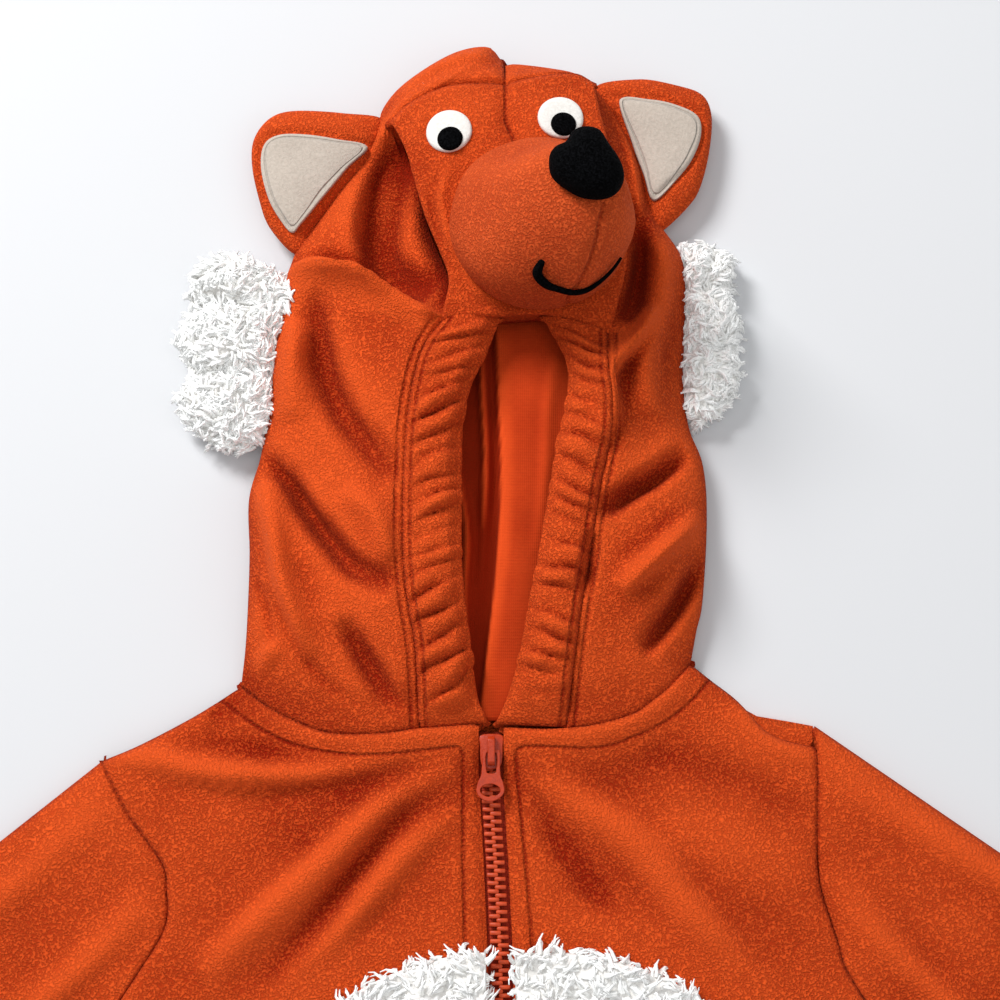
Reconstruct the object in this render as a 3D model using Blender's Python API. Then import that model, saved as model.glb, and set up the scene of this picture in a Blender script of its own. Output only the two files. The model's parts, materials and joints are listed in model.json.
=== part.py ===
import math

import bmesh
import bpy
import numpy as np
from mathutils import Matrix

# Fox costume for a two-year-old, one piece with a hood, laid on its back with its front up.
# Lengths are in millimetres and are turned to metres where a mesh is made.
# x runs to the wearer's left, y toward the hood and z up. y = 0 is the top of the zip.
MM = 0.001
ORIGIN_X = -7.0         # middle of the whole part, which the file's origin stands under
ORIGIN_Y = -215.2

FLEECE = 2.4            # wall of fleece
JERSEY = 1.4            # wall of the hood's lining
FELT = 1.2
SEAM = 0.25             # half of the gap where two pieces meet
LAYER = 0.35            # gap between a piece and what lies on it
BACK = 2.5              # thickness of the layers that lie on the floor
EDGE = 5.7              # top of a front layer where it comes down to the floor
INSET = 3.0             # how far the floor layers stay inside the outline

# Zip, straight down the front but for a slight bend at the top. Columns: y, x.
ZIP_LINE = ((0, -3.0), (-22, -3.1), (-46, -1.4), (-73, 0.0), (-110, 1.0), (-390, 1.0))
ZIP_ROWS = (-10, -22, -34, -46, -60, -73, -110, -200, -300)
ZIP_END = -388.0
ZIP_GAP = 4.3           # from the zip's middle line to the fleece on each side
CHAIN_HALF = 3.2
TAPE_HALF = 12.0
TAPE_TOP = 6.3
TAPE_WALL = 0.9
CHAIN_TOP = 9.4
ZIP_FLEECE_TOP = 9.4    # height of the fleece beside the zip

# Pull tab: a flat loop that turns on the slider's bridge.
HINGE_Y = -5.3
HINGE_Z = 12.2
TAB_WALL = 1.2
TAB_LEAN = -0.024           # sideways run for each millimetre along the tab
# Columns: y, half width.
TAB_HALVES = ((-4.7, 2.2), (-5.3, 3.0), (-9, 3.1), (-13.4, 3.4), (-16, 4.4), (-18.8, 4.9),
              (-20.6, 4.1), (-21.8, 2.6), (-22.4, 0.9))
# Columns: distance from the zip's middle line, y.
TAB_SLOT = ((-1.7, -5.9), (1.7, -5.9), (1.7, -11.8), (1.0, -12.8), (-1.0, -12.8), (-1.7, -11.8))
TAB_HOLE = (-0.35, -18.7)
TAB_HOLE_HALF = (3.5, 2.2)
SLIDER_PLATE = ((-3.6, 0.6), (3.6, 0.6), (4.0, -3.0), (3.0, -10.4), (-3.0, -10.4), (-4.0, -3.0))
SLIDER_WALL = 1.4
# Side view of the bridge. Columns: y, height over the plate's foot.
BRIDGE_OUTER = ((0.0, 0.9), (0.0, 3.5), (-1.2, 4.7), (-9.0, 4.7), (-10.0, 3.7), (-10.2, 0.9))
BRIDGE_INNER = ((-1.8, 0.9), (-1.8, 2.9), (-2.4, 3.5), (-7.9, 3.5), (-8.6, 2.9), (-8.6, 0.9))
BRIDGE_HALF = 1.2

CROTCH_Y = -402.0
# Inner leg. Columns: distance below the crotch, distance from the middle line.
INNER_LEG = ((0, SEAM), (12, 5.5), (30, 13), (80, 27), (160, 38), (288, 46))
CENTRE_X = 1.0          # middle line of the back
BACK_NECK_Y = 12.0
# Shoulder edge of the back from the neck to the armhole. Columns: x, y.
BACK_SHOULDER = {
    "right": ((-98, 10.5), (-108, 4.2), (-126.5, -5.6), (-137.6, -10.6)),
    "left": ((76, 17.5), (83, 12.4), (90, 8.2), (97, 7), (104, 5.8), (110.2, 4.6)),
}

# Rows of the front that also run along the armhole, then rows down to the ankle.
ARM_ROWS = (-8, -15, -22, -29, -36, -43, -50, -57, -64, -71, -78, -86, -95, -105, -116, -128, -140)
SIDE_ROWS = (-156, -176, -202, -232, -265, -300, -335, -365, -388, -402, -425, -460, -510, -570,
             -630, -690)
TOP_FADE = 110.0        # depth over which the neckline's curve fades into level rows
HOOD_COLUMNS = 8
BAND_ROWS = 15          # rows of a hood side along its band
FACE_ROWS = 10          # rows along the face panel
CROWN_ROWS = 6
GATHERS = 13            # gathers along each elastic casing

# Columns: y, x of each edge. "right" and "left" are the wearer's.
ARMHOLE = {
    "right": ((-8, -140), (-25, -130.5), (-34, -124), (-44, -116.6), (-52, -115.1), (-65, -115.2),
              (-81, -124.3), (-108, -141), (-140, -157)),
    "left": ((-3, 111), (-18, 110.9), (-32, 110.3), (-49, 110.2), (-70, 116), (-82, 120),
             (-108, 137), (-140, 158)),
}
SIDE_SEAM = {
    "right": ((-140, -157), (-195, -153), (-250, -151), (-350, -159), (-420, -158), (-690, -138)),
    "left": ((-140, 158), (-195, 155), (-250, 153), (-350, 161), (-420, 160), (-690, 140)),
}
# Top edge of each front from the zip, along the neck seam and the shoulder. Columns: x, y.
NECK_CORNER = {"right": (-91.5, 18.2), "left": (67.5, 26.3)}
NECK_SEAM = {
    "right": ((-7.3, 4.4), (-20.8, 3.2), (-30, 2.4), (-39, 1.1), (-52, 0.7), (-62, 1.8), (-72, 5.7),
              (-82, 11.1), NECK_CORNER["right"]),
    "left": ((1.3, 3.2), (13.9, 2.5), (23.6, 2.8), (34.7, 4.2), (46.9, 8), (53.9, 12.9), (60, 17.9),
             NECK_CORNER["left"]),
}
SHOULDER = {
    "right": (NECK_CORNER["right"], (-98, 14), (-108.2, 7.5), (-126.8, -2.4), (-140, -8)),
    "left": (NECK_CORNER["left"], (76, 19.5), (83, 14), (88.5, 8.2), (92.5, 3.4), (99.5, -0.4),
             (111, -3)),
}
# Height of the neck seam. Columns: distance from the zip, z.
NECK_HEIGHT = ((0, 13), (22, 15.5), (40, 15.5), (60, 13), (72, 10), (90, EDGE))

# Face opening. Columns: x, y, z.
BAND_SEAM = {
    "right": ((-28.2, 2.7, 15.5), (-28.6, 14, 19), (-29.6, 31, 23), (-32.2, 46, 25.5),
              (-33.8, 62, 26.5), (-34, 90, 27), (-33, 110, 27), (-30.6, 126, 27),
              (-26.8, 138, 27), (-19.6, 148.2, 27)),
    "left": ((23.3, 3.1, 15.5), (24.4, 14, 19), (26.5, 31, 23), (28.7, 46, 25.5), (31.2, 60, 26.5),
             (35.2, 86, 27), (39, 104, 27), (39.3, 116, 27), (38, 129, 27), (38.4, 142.6, 27)),
}
BAND_EDGE = {
    "right": ((-5.2, 4.8, 14), (-9, 14, 17), (-10.8, 28, 20.5), (-13.2, 46, 23.5), (-14.4, 62, 24.5),
              (-14.6, 88, 25), (-14.1, 110, 25), (-11.2, 124, 25), (-6.6, 134, 25),
              (-0.9, 148.8, 25)),
    "left": ((-0.6, 4.4, 14), (3.8, 14, 17), (8, 29, 20.5), (11, 45, 23.5), (14, 60, 24.5),
             (18.5, 86, 25), (21.5, 104, 25), (24.6, 118, 25), (24.6, 132, 25), (16, 149.4, 25)),
}
FACE_EDGE = {
    "right": ((-19.6, 148.2, 27), (-16.9, 161, 27), (-20.2, 172, 27), (-25.5, 185, 27),
              (-29.5, 198.8, 27), (-32.5, 210, 27), (-36.5, 219.5, 27), (-39.5, 224, 26.5)),
    "left": ((38.4, 142.6, 27), (40.8, 153.5, 27), (44.2, 170, 27), (43.2, 186, 27),
             (40.5, 200, 27), (38.2, 212, 27), (35.6, 224, 27), (33, 238.6, 26.5)),
}
TOP_SEAM = {
    "right": ((-39.5, 224, 26.5), (-32.9, 230, 27), (-20, 235.8, 28), (-7, 237.1, 28.5),
              (2, 236.7, 28.5)),
    "left": ((33, 238.6, 26.5), (28.3, 241.3, 27), (21.1, 241.3, 27.5), (10.2, 239, 28),
             (2, 236.7, 28.5)),
}
FACE_FOOT = ((-19.6, 148.2), (-0.9, 149.4), (15.9, 150.2), (27, 147.6), (38.4, 142.6))
# Outline of the hood from the neck up to the centre seam. Columns: x, y.
HOOD_OUTLINE = {
    "right": (NECK_CORNER["right"], (-90.3, 32), (-89.8, 48), (-89.7, 66), (-90.4, 86),
              (-86.5, 102), (-84, 122), (-83, 141), (-80, 160), (-76.3, 177), (-69.6, 187.5),
              (-59.8, 202.5), (-50.4, 215.6), (-46.4, 226.5), (-43.5, 236), (-35.4, 245.6),
              (-18.7, 256.8), (-5, 259.8), (0.8, 255)),
    "left": (NECK_CORNER["left"], (69.8, 38), (72.2, 49), (74.3, 78), (73.4, 98), (68.6, 112),
             (66.9, 129), (68.2, 160), (67.2, 176), (60, 188.5), (55.6, 198), (53.4, 210),
             (46, 227), (37.5, 241), (29.8, 248.2), (20.5, 250.8), (8, 252.6), (1.4, 252.8)),
}
# Outline points that face the top of the band and the top corner of the face panel.
HOOD_TIES = {"right": ((-81, 155), (-45, 233)), "left": ((67.2, 141), (36.5, 242))}
HOOD_SIDE_HEIGHT = 17.0     # height of the hood side next to its rolled outline
HOOD_ROLL = 16.0            # reach of that roll
BODY_HEIGHT = 8.6
BODY_ROLL = 12.0

# Folds. Columns: height, reach on the left of its line, reach on the right, points of the line.
FOLD_GAIN = 1.3             # all folds but the lining's are this much higher than their tables say
FRONT_FOLDS = {
    "right": (
        (5.2, 10, 6, ((-139, -6), (-122, -8), (-108, -12), (-92, -14), (-69, -13), (-50, -10),
                      (-26, -4))),
        (-2.6, 9, 8, ((-116, -3), (-100, -3), (-70, -7), (-44, -5))),
        (4.6, 13, 9, ((-14, -12), (-34, -20), (-54, -29), (-83, -45), (-110, -62), (-124, -84))),
        (-2.8, 9, 9, ((-13, -17), (-31, -26), (-46, -42), (-60, -61), (-82, -88))),
        (4.2, 9, 15, ((-12, -24), (-27, -35), (-41, -50), (-56, -70), (-72, -98))),
        (3.0, 14, 16, ((-110, -130), (-90, -180), (-84, -240), (-104, -300))),
        (2.6, 12, 14, ((-126, -330), (-96, -380), (-84, -450), (-92, -540), (-88, -640))),
        (2.2, 10, 12, ((-52, -430), (-60, -500), (-58, -580))),
        (-1.6, 10, 10, ((-112, -400), (-116, -480), (-108, -560))),
    ),
    "left": (
        (4.6, 12, 12, ((8, -10), (28, -23), (48, -38), (70, -66), (92, -100))),
        (-2.4, 9, 9, ((3, -18), (20, -36), (34, -56), (50, -82))),
        (-2.2, 12, 9, ((44, -6), (70, -10), (91, -17), (106, -30))),
        (3.4, 14, 14, ((44, -22), (70, -34), (92, -44), (112, -52))),
        (3.2, 10, 8, ((84, 14), (90, 4), (100, -3), (112, -7))),
        (3.0, 14, 16, ((118, -126), (96, -176), (90, -236), (108, -296))),
        (2.6, 12, 14, ((130, -326), (100, -372), (90, -446), (96, -536), (92, -646))),
        (2.2, 10, 12, ((56, -430), (64, -505), (60, -585))),
        (-1.6, 10, 10, ((116, -404), (120, -484), (110, -556))),
    ),
}
HOOD_FOLDS = {
    "right": (
        (4.5, 5, 12, ((-84, 168), (-75, 170), (-61, 168), (-46, 163), (-32, 154), (-22, 146))),
        (-9.5, 15, 12, ((-36, 222), (-43, 200), (-44, 178), (-36, 164), (-25, 157))),
        (-5.5, 9, 11, ((-69, 160), (-62, 130), (-55, 114), (-44, 100), (-36, 88))),
        (-6.0, 7, 9, ((-86, 102), (-75, 91), (-67, 79), (-58, 67), (-50, 58), (-36, 52))),
        (4.5, 9, 5, ((-86, 90), (-81, 72), (-77, 54), (-71, 38), (-67, 26))),
        (3.0, 6, 5, ((-90, 18), (-84, 25), (-77, 32))),
        (-4.0, 7, 8, ((-55, 40), (-44, 22), (-38, 13), (-30, 8))),
        (4.0, 10, 12, ((-72, 150), (-76, 132), (-74, 112))),
        (3.5, 8, 8, ((-56, 86), (-44, 76), (-38, 60))),
    ),
    "left": (
        (-4.5, 7, 7, ((67, 101), (55, 91), (46, 85), (35, 76))),
        (5.0, 5, 12, ((56, 152), (47, 137), (39, 127), (40, 112), (36, 102))),
        (4.0, 9, 9, ((61, 186), (60, 165), (57, 150), (52, 132), (54, 112))),
        (-5.5, 6, 8, ((73, 64), (62, 44), (50, 28))),
        (4.5, 8, 8, ((73, 78), (57, 64), (41, 49))),
        (-3.0, 5, 5, ((32, 70), (29, 48))),
        (-6.5, 7, 7, ((44, 146), (49, 160), (51, 178), (47, 196))),
    ),
}
# Folds of the lining inside the face opening.
LINING_HEIGHT = 6.2
LINING_ROWS = 16
LINING_COLUMNS = 14
LINING_TOP = 14.0           # how far the lining goes on under the face panel
LINING_INSET = 4.0
LINING_FOLDS = (
    (11.0, 12, 12, ((10, 152), (10, 126), (9.4, 96), (7.6, 66), (4.4, 36), (0.5, 4))),
    (7.0, 5, 5, ((-7, 150), (-6.2, 126), (-6.6, 98), (-7.4, 72))),
    (5.0, 4, 5, ((-13, 96), (-11, 74), (-12, 48), (-8, 22))),
)

# Muzzle, level by level. Columns: z, middle x, middle y, half width, half height.
MUZZLE = (
    (33, 14.5, 179.2, 30.8, 30.2),
    (40, 14.6, 179.2, 32.4, 31.2),
    (48, 16.2, 177.6, 30.8, 29.4),
    (56, 18.8, 176.4, 27.6, 26.2),
    (64, 21.8, 177.2, 23.2, 22.0),
    (71, 24.8, 179.2, 18.0, 16.8),
    (75.5, 27.2, 182.2, 12.0, 12.0),
    (77.5, 28.4, 183.4, 4.5, 5.0),
)
MUZZLE_SIDES = 24
# Mouth round the muzzle. Columns: angle, z.
MOUTH_LINE = ((-109, 64.5), (-107, 60.5), (-96, 57), (-86, 55), (-67, 50), (-53, 52), (-37, 56))
MOUTH_RADIUS = 1.3
MOUTH_POINTS = 15
MOUTH_OUT = 2.0             # middle of the cord, out from the muzzle
MOUTH_UP = 0.6

NOSE_MIDDLE = (29.0, 184.0)
NOSE_FOOT = 78.2
NOSE_RISE = 9.0
# Columns: angle, distance from the middle.
NOSE_OUTLINE = ((90, 14.6), (120, 12.2), (146, 13.6), (172, 13.2), (206, 12.4), (240, 12.6),
                (268, 12.6), (296, 13.8), (326, 13.6), (2, 12.2), (34, 12.0), (64, 13.4))

EYES = {"right": (-18.4, 216.3), "left": (21.9, 221.5)}
EYE_RADIUS = 8.2
PUPIL_RADIUS = 4.5
PUPIL_SHIFT = {"right": (0.4, -3.6), "left": (1.0, -3.2)}
PUPIL_WALL = 1.1
FACE_HEIGHT = 27.0
FACE_RISE = 7.0
FACE_CROWN = ((4.0, 44.0), (194.0, 50.0))       # middle and half size, across and along
FACE_BROW = (1.2, (2.0, 7.0), (214.0, 13.0))    # depth, then middle and reach each way

# Outlines that are closed and run round their middle. Columns: x, y.
EAR = {
    "right": ((-46.6, 231), (-59.4, 232.9), (-77, 233.6), (-86, 230.6), (-91.6, 222.7),
              (-92.3, 213), (-89.7, 200.4), (-85, 186.9), (-77.7, 178.6), (-70.7, 188.2),
              (-60.7, 203.4), (-51.1, 216.6)),
    "left": ((38.2, 243.6), (52.1, 246.4), (67, 243.6), (75.5, 240.2), (78.8, 233.7),
             (78.8, 223.9), (76.3, 210.2), (71.7, 198.5), (61.6, 187.2), (56.9, 198.6),
             (53.9, 211.6), (46.9, 227.1)),
}
EAR_MIDDLE = {"right": (-76, 213), "left": (65, 220)}
EAR_FELT = {
    "right": ((-54, 215.4), (-60, 218), (-70.4, 220.6), (-80.6, 220.6), (-86, 217), (-86.8, 208.6),
              (-84.1, 197), (-78.5, 190.4), (-73.2, 187), (-63.6, 202.6)),
    "left": ((48.4, 231.8), (59.8, 233.8), (70.2, 230.8), (73.3, 225.4), (70.2, 215.2),
             (63.8, 206.4), (58.2, 200.4), (56.6, 211), (53, 222)),
}
EAR_FELT_MIDDLE = {"right": (-73, 207), "left": (63, 219)}
EAR_RISE = 6.0
EAR_FOOT = 7.0
EAR_RIM = 2.0
EAR_UNDER = 3.0
EAR_FELT_LIFT = 0.9
# Tufts of fur. They stand on the hood side, or on the floor where they hang over its edge.
CHEEK = {
    "right": ((-107, 177), (-97, 178.4), (-86.8, 174), (-76.8, 168.5), (-75.6, 161), (-78.6, 152),
              (-80.6, 139), (-81.6, 121), (-84.6, 106), (-93, 101.9), (-104, 104.2), (-113.4, 112),
              (-116.4, 122), (-112.4, 131), (-117, 142.6), (-116.4, 151), (-112.6, 157),
              (-113.8, 167)),
    "left": ((68.7, 182.6), (78.6, 181.8), (84.4, 176), (83.4, 163), (87, 151), (85, 139.6),
             (86.2, 129), (81.8, 119.6), (74.6, 113.4), (68.9, 113), (67.5, 129), (68.3, 145),
             (68.7, 161)),
}
CHEEK_MIDDLE = {"right": (-97, 141), "left": (76, 147)}
CHEEK_RISE = 12.0
CHEEK_FOOT = {"right": 6.0, "left": 4.0}
CHEEK_SLOPE = 2.2           # how fast the right tuft climbs over the hood side's rolled edge

BELLY_MIDDLE = (8.0, -190.0)
BELLY_HALF = (104.0, 117.0)
BELLY_POWER = 2.3
BELLY_RISE = 8.0
BELLY_MARGIN = (16.0, 8.0)  # how far past the patch the fleece under it stays level

# Sleeves. Cuff ends at the shoulder side and at the underarm side, x and y.
CUFF = {
    "right": ((-372, -196), (-316, -264)),
    "left": ((358, -168), (306, -238)),
}
SLEEVE_STATIONS = (0.0, 0.06, 0.16, 0.28, 0.42, 0.56, 0.7, 0.85, 1.0)
SLEEVE_HEIGHT = 8.2
SLEEVE_MID = 4.0
SLEEVE_ROLL = 9.0
SLEEVE_UNDER_ROLL = 5.0
SLEEVE_TOP_LEFT = 4.4       # the left sleeve starts this far up, at the shoulder seam
SLEEVE_FOLDS = {
    "right": (
        (3.2, 10, 12, ((-118, -54), (-160, -92), (-210, -128))),
        (2.6, 10, 10, ((-136, -24), (-180, -62), (-240, -104), (-300, -150))),
        (-1.4, 8, 8, ((-130, -60), (-176, -104), (-226, -150))),
        (2.2, 8, 9, ((-236, -176), (-268, -196), (-312, -214))),
        (2.0, 8, 8, ((-300, -168), (-318, -188), (-326, -206))),
    ),
    "left": (
        (3.0, 10, 12, ((112, -44), (150, -86), (196, -122))),
        (2.6, 10, 10, ((116, -14), (170, -46), (232, -84), (288, -122))),
        (-1.4, 8, 8, ((120, -52), (168, -98), (214, -140))),
        (2.2, 8, 9, ((226, -160), (262, -176), (300, -192))),
        (2.0, 8, 8, ((284, -140), (302, -162), (312, -182))),
    ),
}

COLOURS = {
    "fleece": ((0.58, 0.045, 0.006), 0.95),
    "jersey": ((0.54, 0.052, 0.007), 0.9),
    "sherpa": ((0.76, 0.75, 0.72), 0.95),
    "felt": ((0.70, 0.66, 0.60), 0.95),
    "black plush": ((0.004, 0.004, 0.005), 0.95),
    "zip tape": ((0.42, 0.03, 0.007), 0.85),
    "zip plastic": ((0.56, 0.07, 0.02), 0.4),
}


def clear_scene():
    for item in list(bpy.data.objects):
        bpy.data.objects.remove(item, do_unlink=True)


def make_material(name):
    colour, roughness = COLOURS[name]
    material = bpy.data.materials.new(name)
    material.use_nodes = True
    shader = material.node_tree.nodes["Principled BSDF"]
    shader.inputs["Base Color"].default_value = (*colour, 1.0)
    shader.inputs["Roughness"].default_value = roughness
    shader.inputs["Metallic"].default_value = 0.0
    return material


def smooth_step(value):
    value = min(max(value, 0.0), 1.0)
    return value * value * (3.0 - 2.0 * value)


def roll(distance, reach):
    # Quarter round from 0 at an edge to 1 at the reach.
    share = min(max(distance / reach, 0.0), 1.0)
    return math.sqrt(1.0 - (1.0 - share) ** 2)


class Line:
    # A smooth line through a few points, read by the share of its length.
    def __init__(self, points, closed=False, steps=10):
        points = [np.array(point, dtype=float) for point in points]
        if closed:
            ends = [points[-1]] + points + points[:2]
        else:
            ends = [2 * points[0] - points[1]] + points + [2 * points[-1] - points[-2]]
        dense = []
        for a, b, c, d in zip(ends, ends[1:], ends[2:], ends[3:]):
            for step in range(steps):
                t = step / steps
                dense.append(0.5 * (2 * b + (c - a) * t + (2 * a - 5 * b + 4 * c - d) * t ** 2
                                    + (3 * b - a - 3 * c + d) * t ** 3))
        dense.append(ends[-2])
        self.points = np.array(dense)
        spans = np.diff(self.points[:, :2], axis=0)
        self.spans = spans
        self.squares = np.maximum((spans ** 2).sum(axis=1), 1e-9)
        self.reach = np.concatenate(([0.0], np.cumsum(np.sqrt(self.squares))))
        self.length = self.reach[-1]

    def at(self, share):
        place = share * self.length
        return np.array([np.interp(place, self.reach, column) for column in self.points.T])

    def nearest(self, x, y):
        # Distance, positive on the line's left, and the share of length at the nearest point.
        starts = self.points[:-1, :2]
        offset = np.array([x, y]) - starts
        t = np.clip((offset * self.spans).sum(axis=1) / self.squares, 0.0, 1.0)
        gap = offset - self.spans * t[:, None]
        k = int(np.argmin((gap ** 2).sum(axis=1)))
        side = self.spans[k, 0] * offset[k, 1] - self.spans[k, 1] * offset[k, 0]
        distance = math.hypot(gap[k, 0], gap[k, 1])
        share = (self.reach[k] + t[k] * math.sqrt(self.squares[k])) / self.length
        return (distance if side >= 0 else -distance), share

    def x_at(self, y):
        # For a line whose y only falls.
        return float(np.interp(-y, -self.points[:, 1], self.points[:, 0]))


def table_line(rows):
    # A line from rows of y, x.
    return Line([(x, y) for y, x in rows])


def fold_lines(table, gain=FOLD_GAIN):
    return [(height * gain, left, right, Line(points)) for height, left, right, points in table]


def fold_height(folds, x, y):
    total = 0.0
    for height, left, right, line in folds:
        distance, share = line.nearest(x, y)
        reach = left if distance >= 0 else right
        if abs(distance) < reach:
            taper = math.sin(math.pi * min(max(share, 0.0), 1.0)) ** 0.6
            total += height * taper * 0.5 * (1.0 + math.cos(math.pi * distance / reach))
    return total


armhole_lines = {side: table_line(rows) for side, rows in ARMHOLE.items()}
side_lines = {side: table_line(rows) for side, rows in SIDE_SEAM.items()}
neck_lines = {side: Line(rows) for side, rows in NECK_SEAM.items()}
shoulder_lines = {side: Line(rows) for side, rows in SHOULDER.items()}
outline_lines = {side: Line(rows) for side, rows in HOOD_OUTLINE.items()}
band_seams = {side: Line(rows) for side, rows in BAND_SEAM.items()}
band_edges = {side: Line(rows) for side, rows in BAND_EDGE.items()}
face_edges = {side: Line(rows) for side, rows in FACE_EDGE.items()}
top_seams = {side: Line(rows) for side, rows in TOP_SEAM.items()}
front_folds = {side: fold_lines(rows) for side, rows in FRONT_FOLDS.items()}
hood_folds = {side: fold_lines(rows) for side, rows in HOOD_FOLDS.items()}
sleeve_folds = {side: fold_lines(rows) for side, rows in SLEEVE_FOLDS.items()}
lining_folds = fold_lines(LINING_FOLDS, 1.0)
zip_columns = tuple(zip(*reversed(ZIP_LINE)))
SIGN = {"right": -1.0, "left": 1.0}


def zip_x(y):
    return float(np.interp(y, *zip_columns))


def inner_x(side, y):
    # Edge of a front beside the zip, then the inner leg seam.
    edge = zip_x(y) + SIGN[side] * ZIP_GAP
    if y >= ZIP_END:
        return edge
    if y >= CROTCH_Y:
        return CENTRE_X + SIGN[side] * SEAM
    leg = np.interp(CROTCH_Y - y, *zip(*INNER_LEG))
    return CENTRE_X + SIGN[side] * float(leg)


def outer_x(side, y):
    lines = armhole_lines if y > -140 else side_lines
    return lines[side].x_at(y)


def top_y(side, x):
    # Neck seam and shoulder as a height over x.
    line = neck_lines[side].points
    if abs(x) > abs(NECK_CORNER[side][0]):
        line = shoulder_lines[side].points
    return float(np.interp(SIGN[side] * x, SIGN[side] * line[:, 0], line[:, 1]))


def neck_height(x):
    return float(np.interp(abs(x - zip_x(0)), *zip(*NECK_HEIGHT)))


def belly_share(x, y, margin=(0.0, 0.0)):
    # 1 on the outline of the fur patch, less inside it.
    across = abs(x - BELLY_MIDDLE[0]) / (BELLY_HALF[0] + margin[0])
    along = abs(y - BELLY_MIDDLE[1]) / (BELLY_HALF[1] + margin[1])
    return (across ** BELLY_POWER + along ** BELLY_POWER) ** (1 / BELLY_POWER)


def front_height(side, x, y):
    height = BODY_HEIGHT + fold_height(front_folds[side], x, y)
    level = 1.0 - smooth_step((belly_share(x, y, BELLY_MARGIN) - 1.0) / 0.12)
    height += (ZIP_FLEECE_TOP - height) * level
    if abs(x) < abs(NECK_CORNER[side][0]) + 10:
        below = max(top_y(side, x) - y, 0.0)
        height += (neck_height(x) - height) * math.exp(-(below / 13.0) ** 2)
    distance = abs(side_lines[side].nearest(x, y)[0])
    distance = min(distance, abs(shoulder_lines[side].nearest(x, y)[0]))
    if y < CROTCH_Y:
        distance = min(distance, abs(x - inner_x(side, y)) * 0.97)
    height = EDGE + (max(height, EDGE) - EDGE) * roll(distance, BODY_ROLL)
    if y > ZIP_END - 4:
        beside = 1.0 - smooth_step((abs(x - zip_x(y)) - 11.0) / 12.0)
        height = max(height, ZIP_FLEECE_TOP * beside + height * (1.0 - beside))
    return height


def hood_height(side, x, y, seam_height, across):
    height = seam_height + (HOOD_SIDE_HEIGHT - seam_height) * across
    height += fold_height(hood_folds[side], x, y)
    below = abs(neck_lines[side].nearest(x, y)[0])
    height += (neck_height(x) - height) * math.exp(-(below / 12.0) ** 2)
    distance = abs(outline_lines[side].nearest(x, y)[0])
    return EDGE + (max(height, EDGE) - EDGE) * roll(distance, HOOD_ROLL)


def face_height(x, y):
    # Crowned panel, a little lower between the eyes.
    across, along = [(place - middle) / half for place, (middle, half) in zip((x, y), FACE_CROWN)]
    crown = max(1.0 - across ** 2, 0.0) * max(1.0 - along ** 2, 0.0)
    depth, *spots = FACE_BROW
    brow = [(place - middle) / reach for place, (middle, reach) in zip((x, y), spots)]
    return FACE_HEIGHT + FACE_RISE * crown - depth * math.exp(-brow[0] ** 2 - brow[1] ** 2)


def put(bm, point):
    x, y, z = point
    return bm.verts.new(((x - ORIGIN_X) * MM, (y - ORIGIN_Y) * MM, z * MM))


def finish_mesh(bm, name, material, smooth=True):
    bmesh.ops.recalc_face_normals(bm, faces=bm.faces)
    mesh = bpy.data.meshes.new(name)
    bm.to_mesh(mesh)
    bm.free()
    item = bpy.data.objects.new(name, mesh)
    costume.objects.link(item)
    mesh.materials.append(materials[material])
    if smooth:
        mesh.shade_smooth()
    return item


def skin(bm, rows, closed=False):
    # Faces between rows of points that are equally long.
    count = len(rows[0])
    last = count if closed else count - 1
    for row, following in zip(rows, rows[1:]):
        for k in range(last):
            n = (k + 1) % count
            bm.faces.new((row[k], row[n], following[n], following[k]))


def wall(name, top, under, material):
    # A sheet of cloth between two lofted skins with the same rows and columns.
    bm = bmesh.new()
    upper = [[put(bm, point) for point in row] for row in top]
    lower = [[put(bm, point) for point in row] for row in under]
    skin(bm, upper)
    skin(bm, lower)
    for row_up, row_down in ((upper[0], lower[0]), (upper[-1], lower[-1])):
        skin(bm, [row_up, row_down])
    for side in (0, -1):
        skin(bm, [[row[side] for row in upper], [row[side] for row in lower]])
    return finish_mesh(bm, name, material)


def drop(rows, thickness):
    return [[(x, y, z - thickness) for x, y, z in row] for row in rows]


def pad(name, outline, middle, under, top, material, scales=(1.0, 0.92, 0.72, 0.4)):
    # A closed pad over an outline: rings that shrink to the middle, above and below.
    middle = np.array(middle, dtype=float)

    def rings(height):
        made = []
        for scale in scales:
            ring = [middle + scale * (point - middle) for point in outline]
            made.append([(x, y, height(x, y, scale)) for x, y in ring])
        return made

    bm = bmesh.new()
    upper = [[put(bm, point) for point in ring] for ring in rings(top)]
    lower = [[put(bm, point) for point in ring] for ring in rings(under)]
    skin(bm, upper, closed=True)
    skin(bm, lower, closed=True)
    skin(bm, [upper[0], lower[0]], closed=True)
    for last, height in ((upper[-1], top), (lower[-1], under)):
        tip = put(bm, (middle[0], middle[1], height(middle[0], middle[1], 0.0)))
        for k, vert in enumerate(last):
            bm.faces.new((vert, last[(k + 1) % len(last)], tip))
    return finish_mesh(bm, name, material)


def around(points, count):
    line = Line(points, closed=True)
    return [line.at(k / count)[:2] for k in range(count)]


def circle(middle, radius, count):
    angles = [2 * math.pi * k / count for k in range(count)]
    return [np.array((middle[0] + radius * math.cos(a), middle[1] + radius * math.sin(a)))
            for a in angles]


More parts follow.
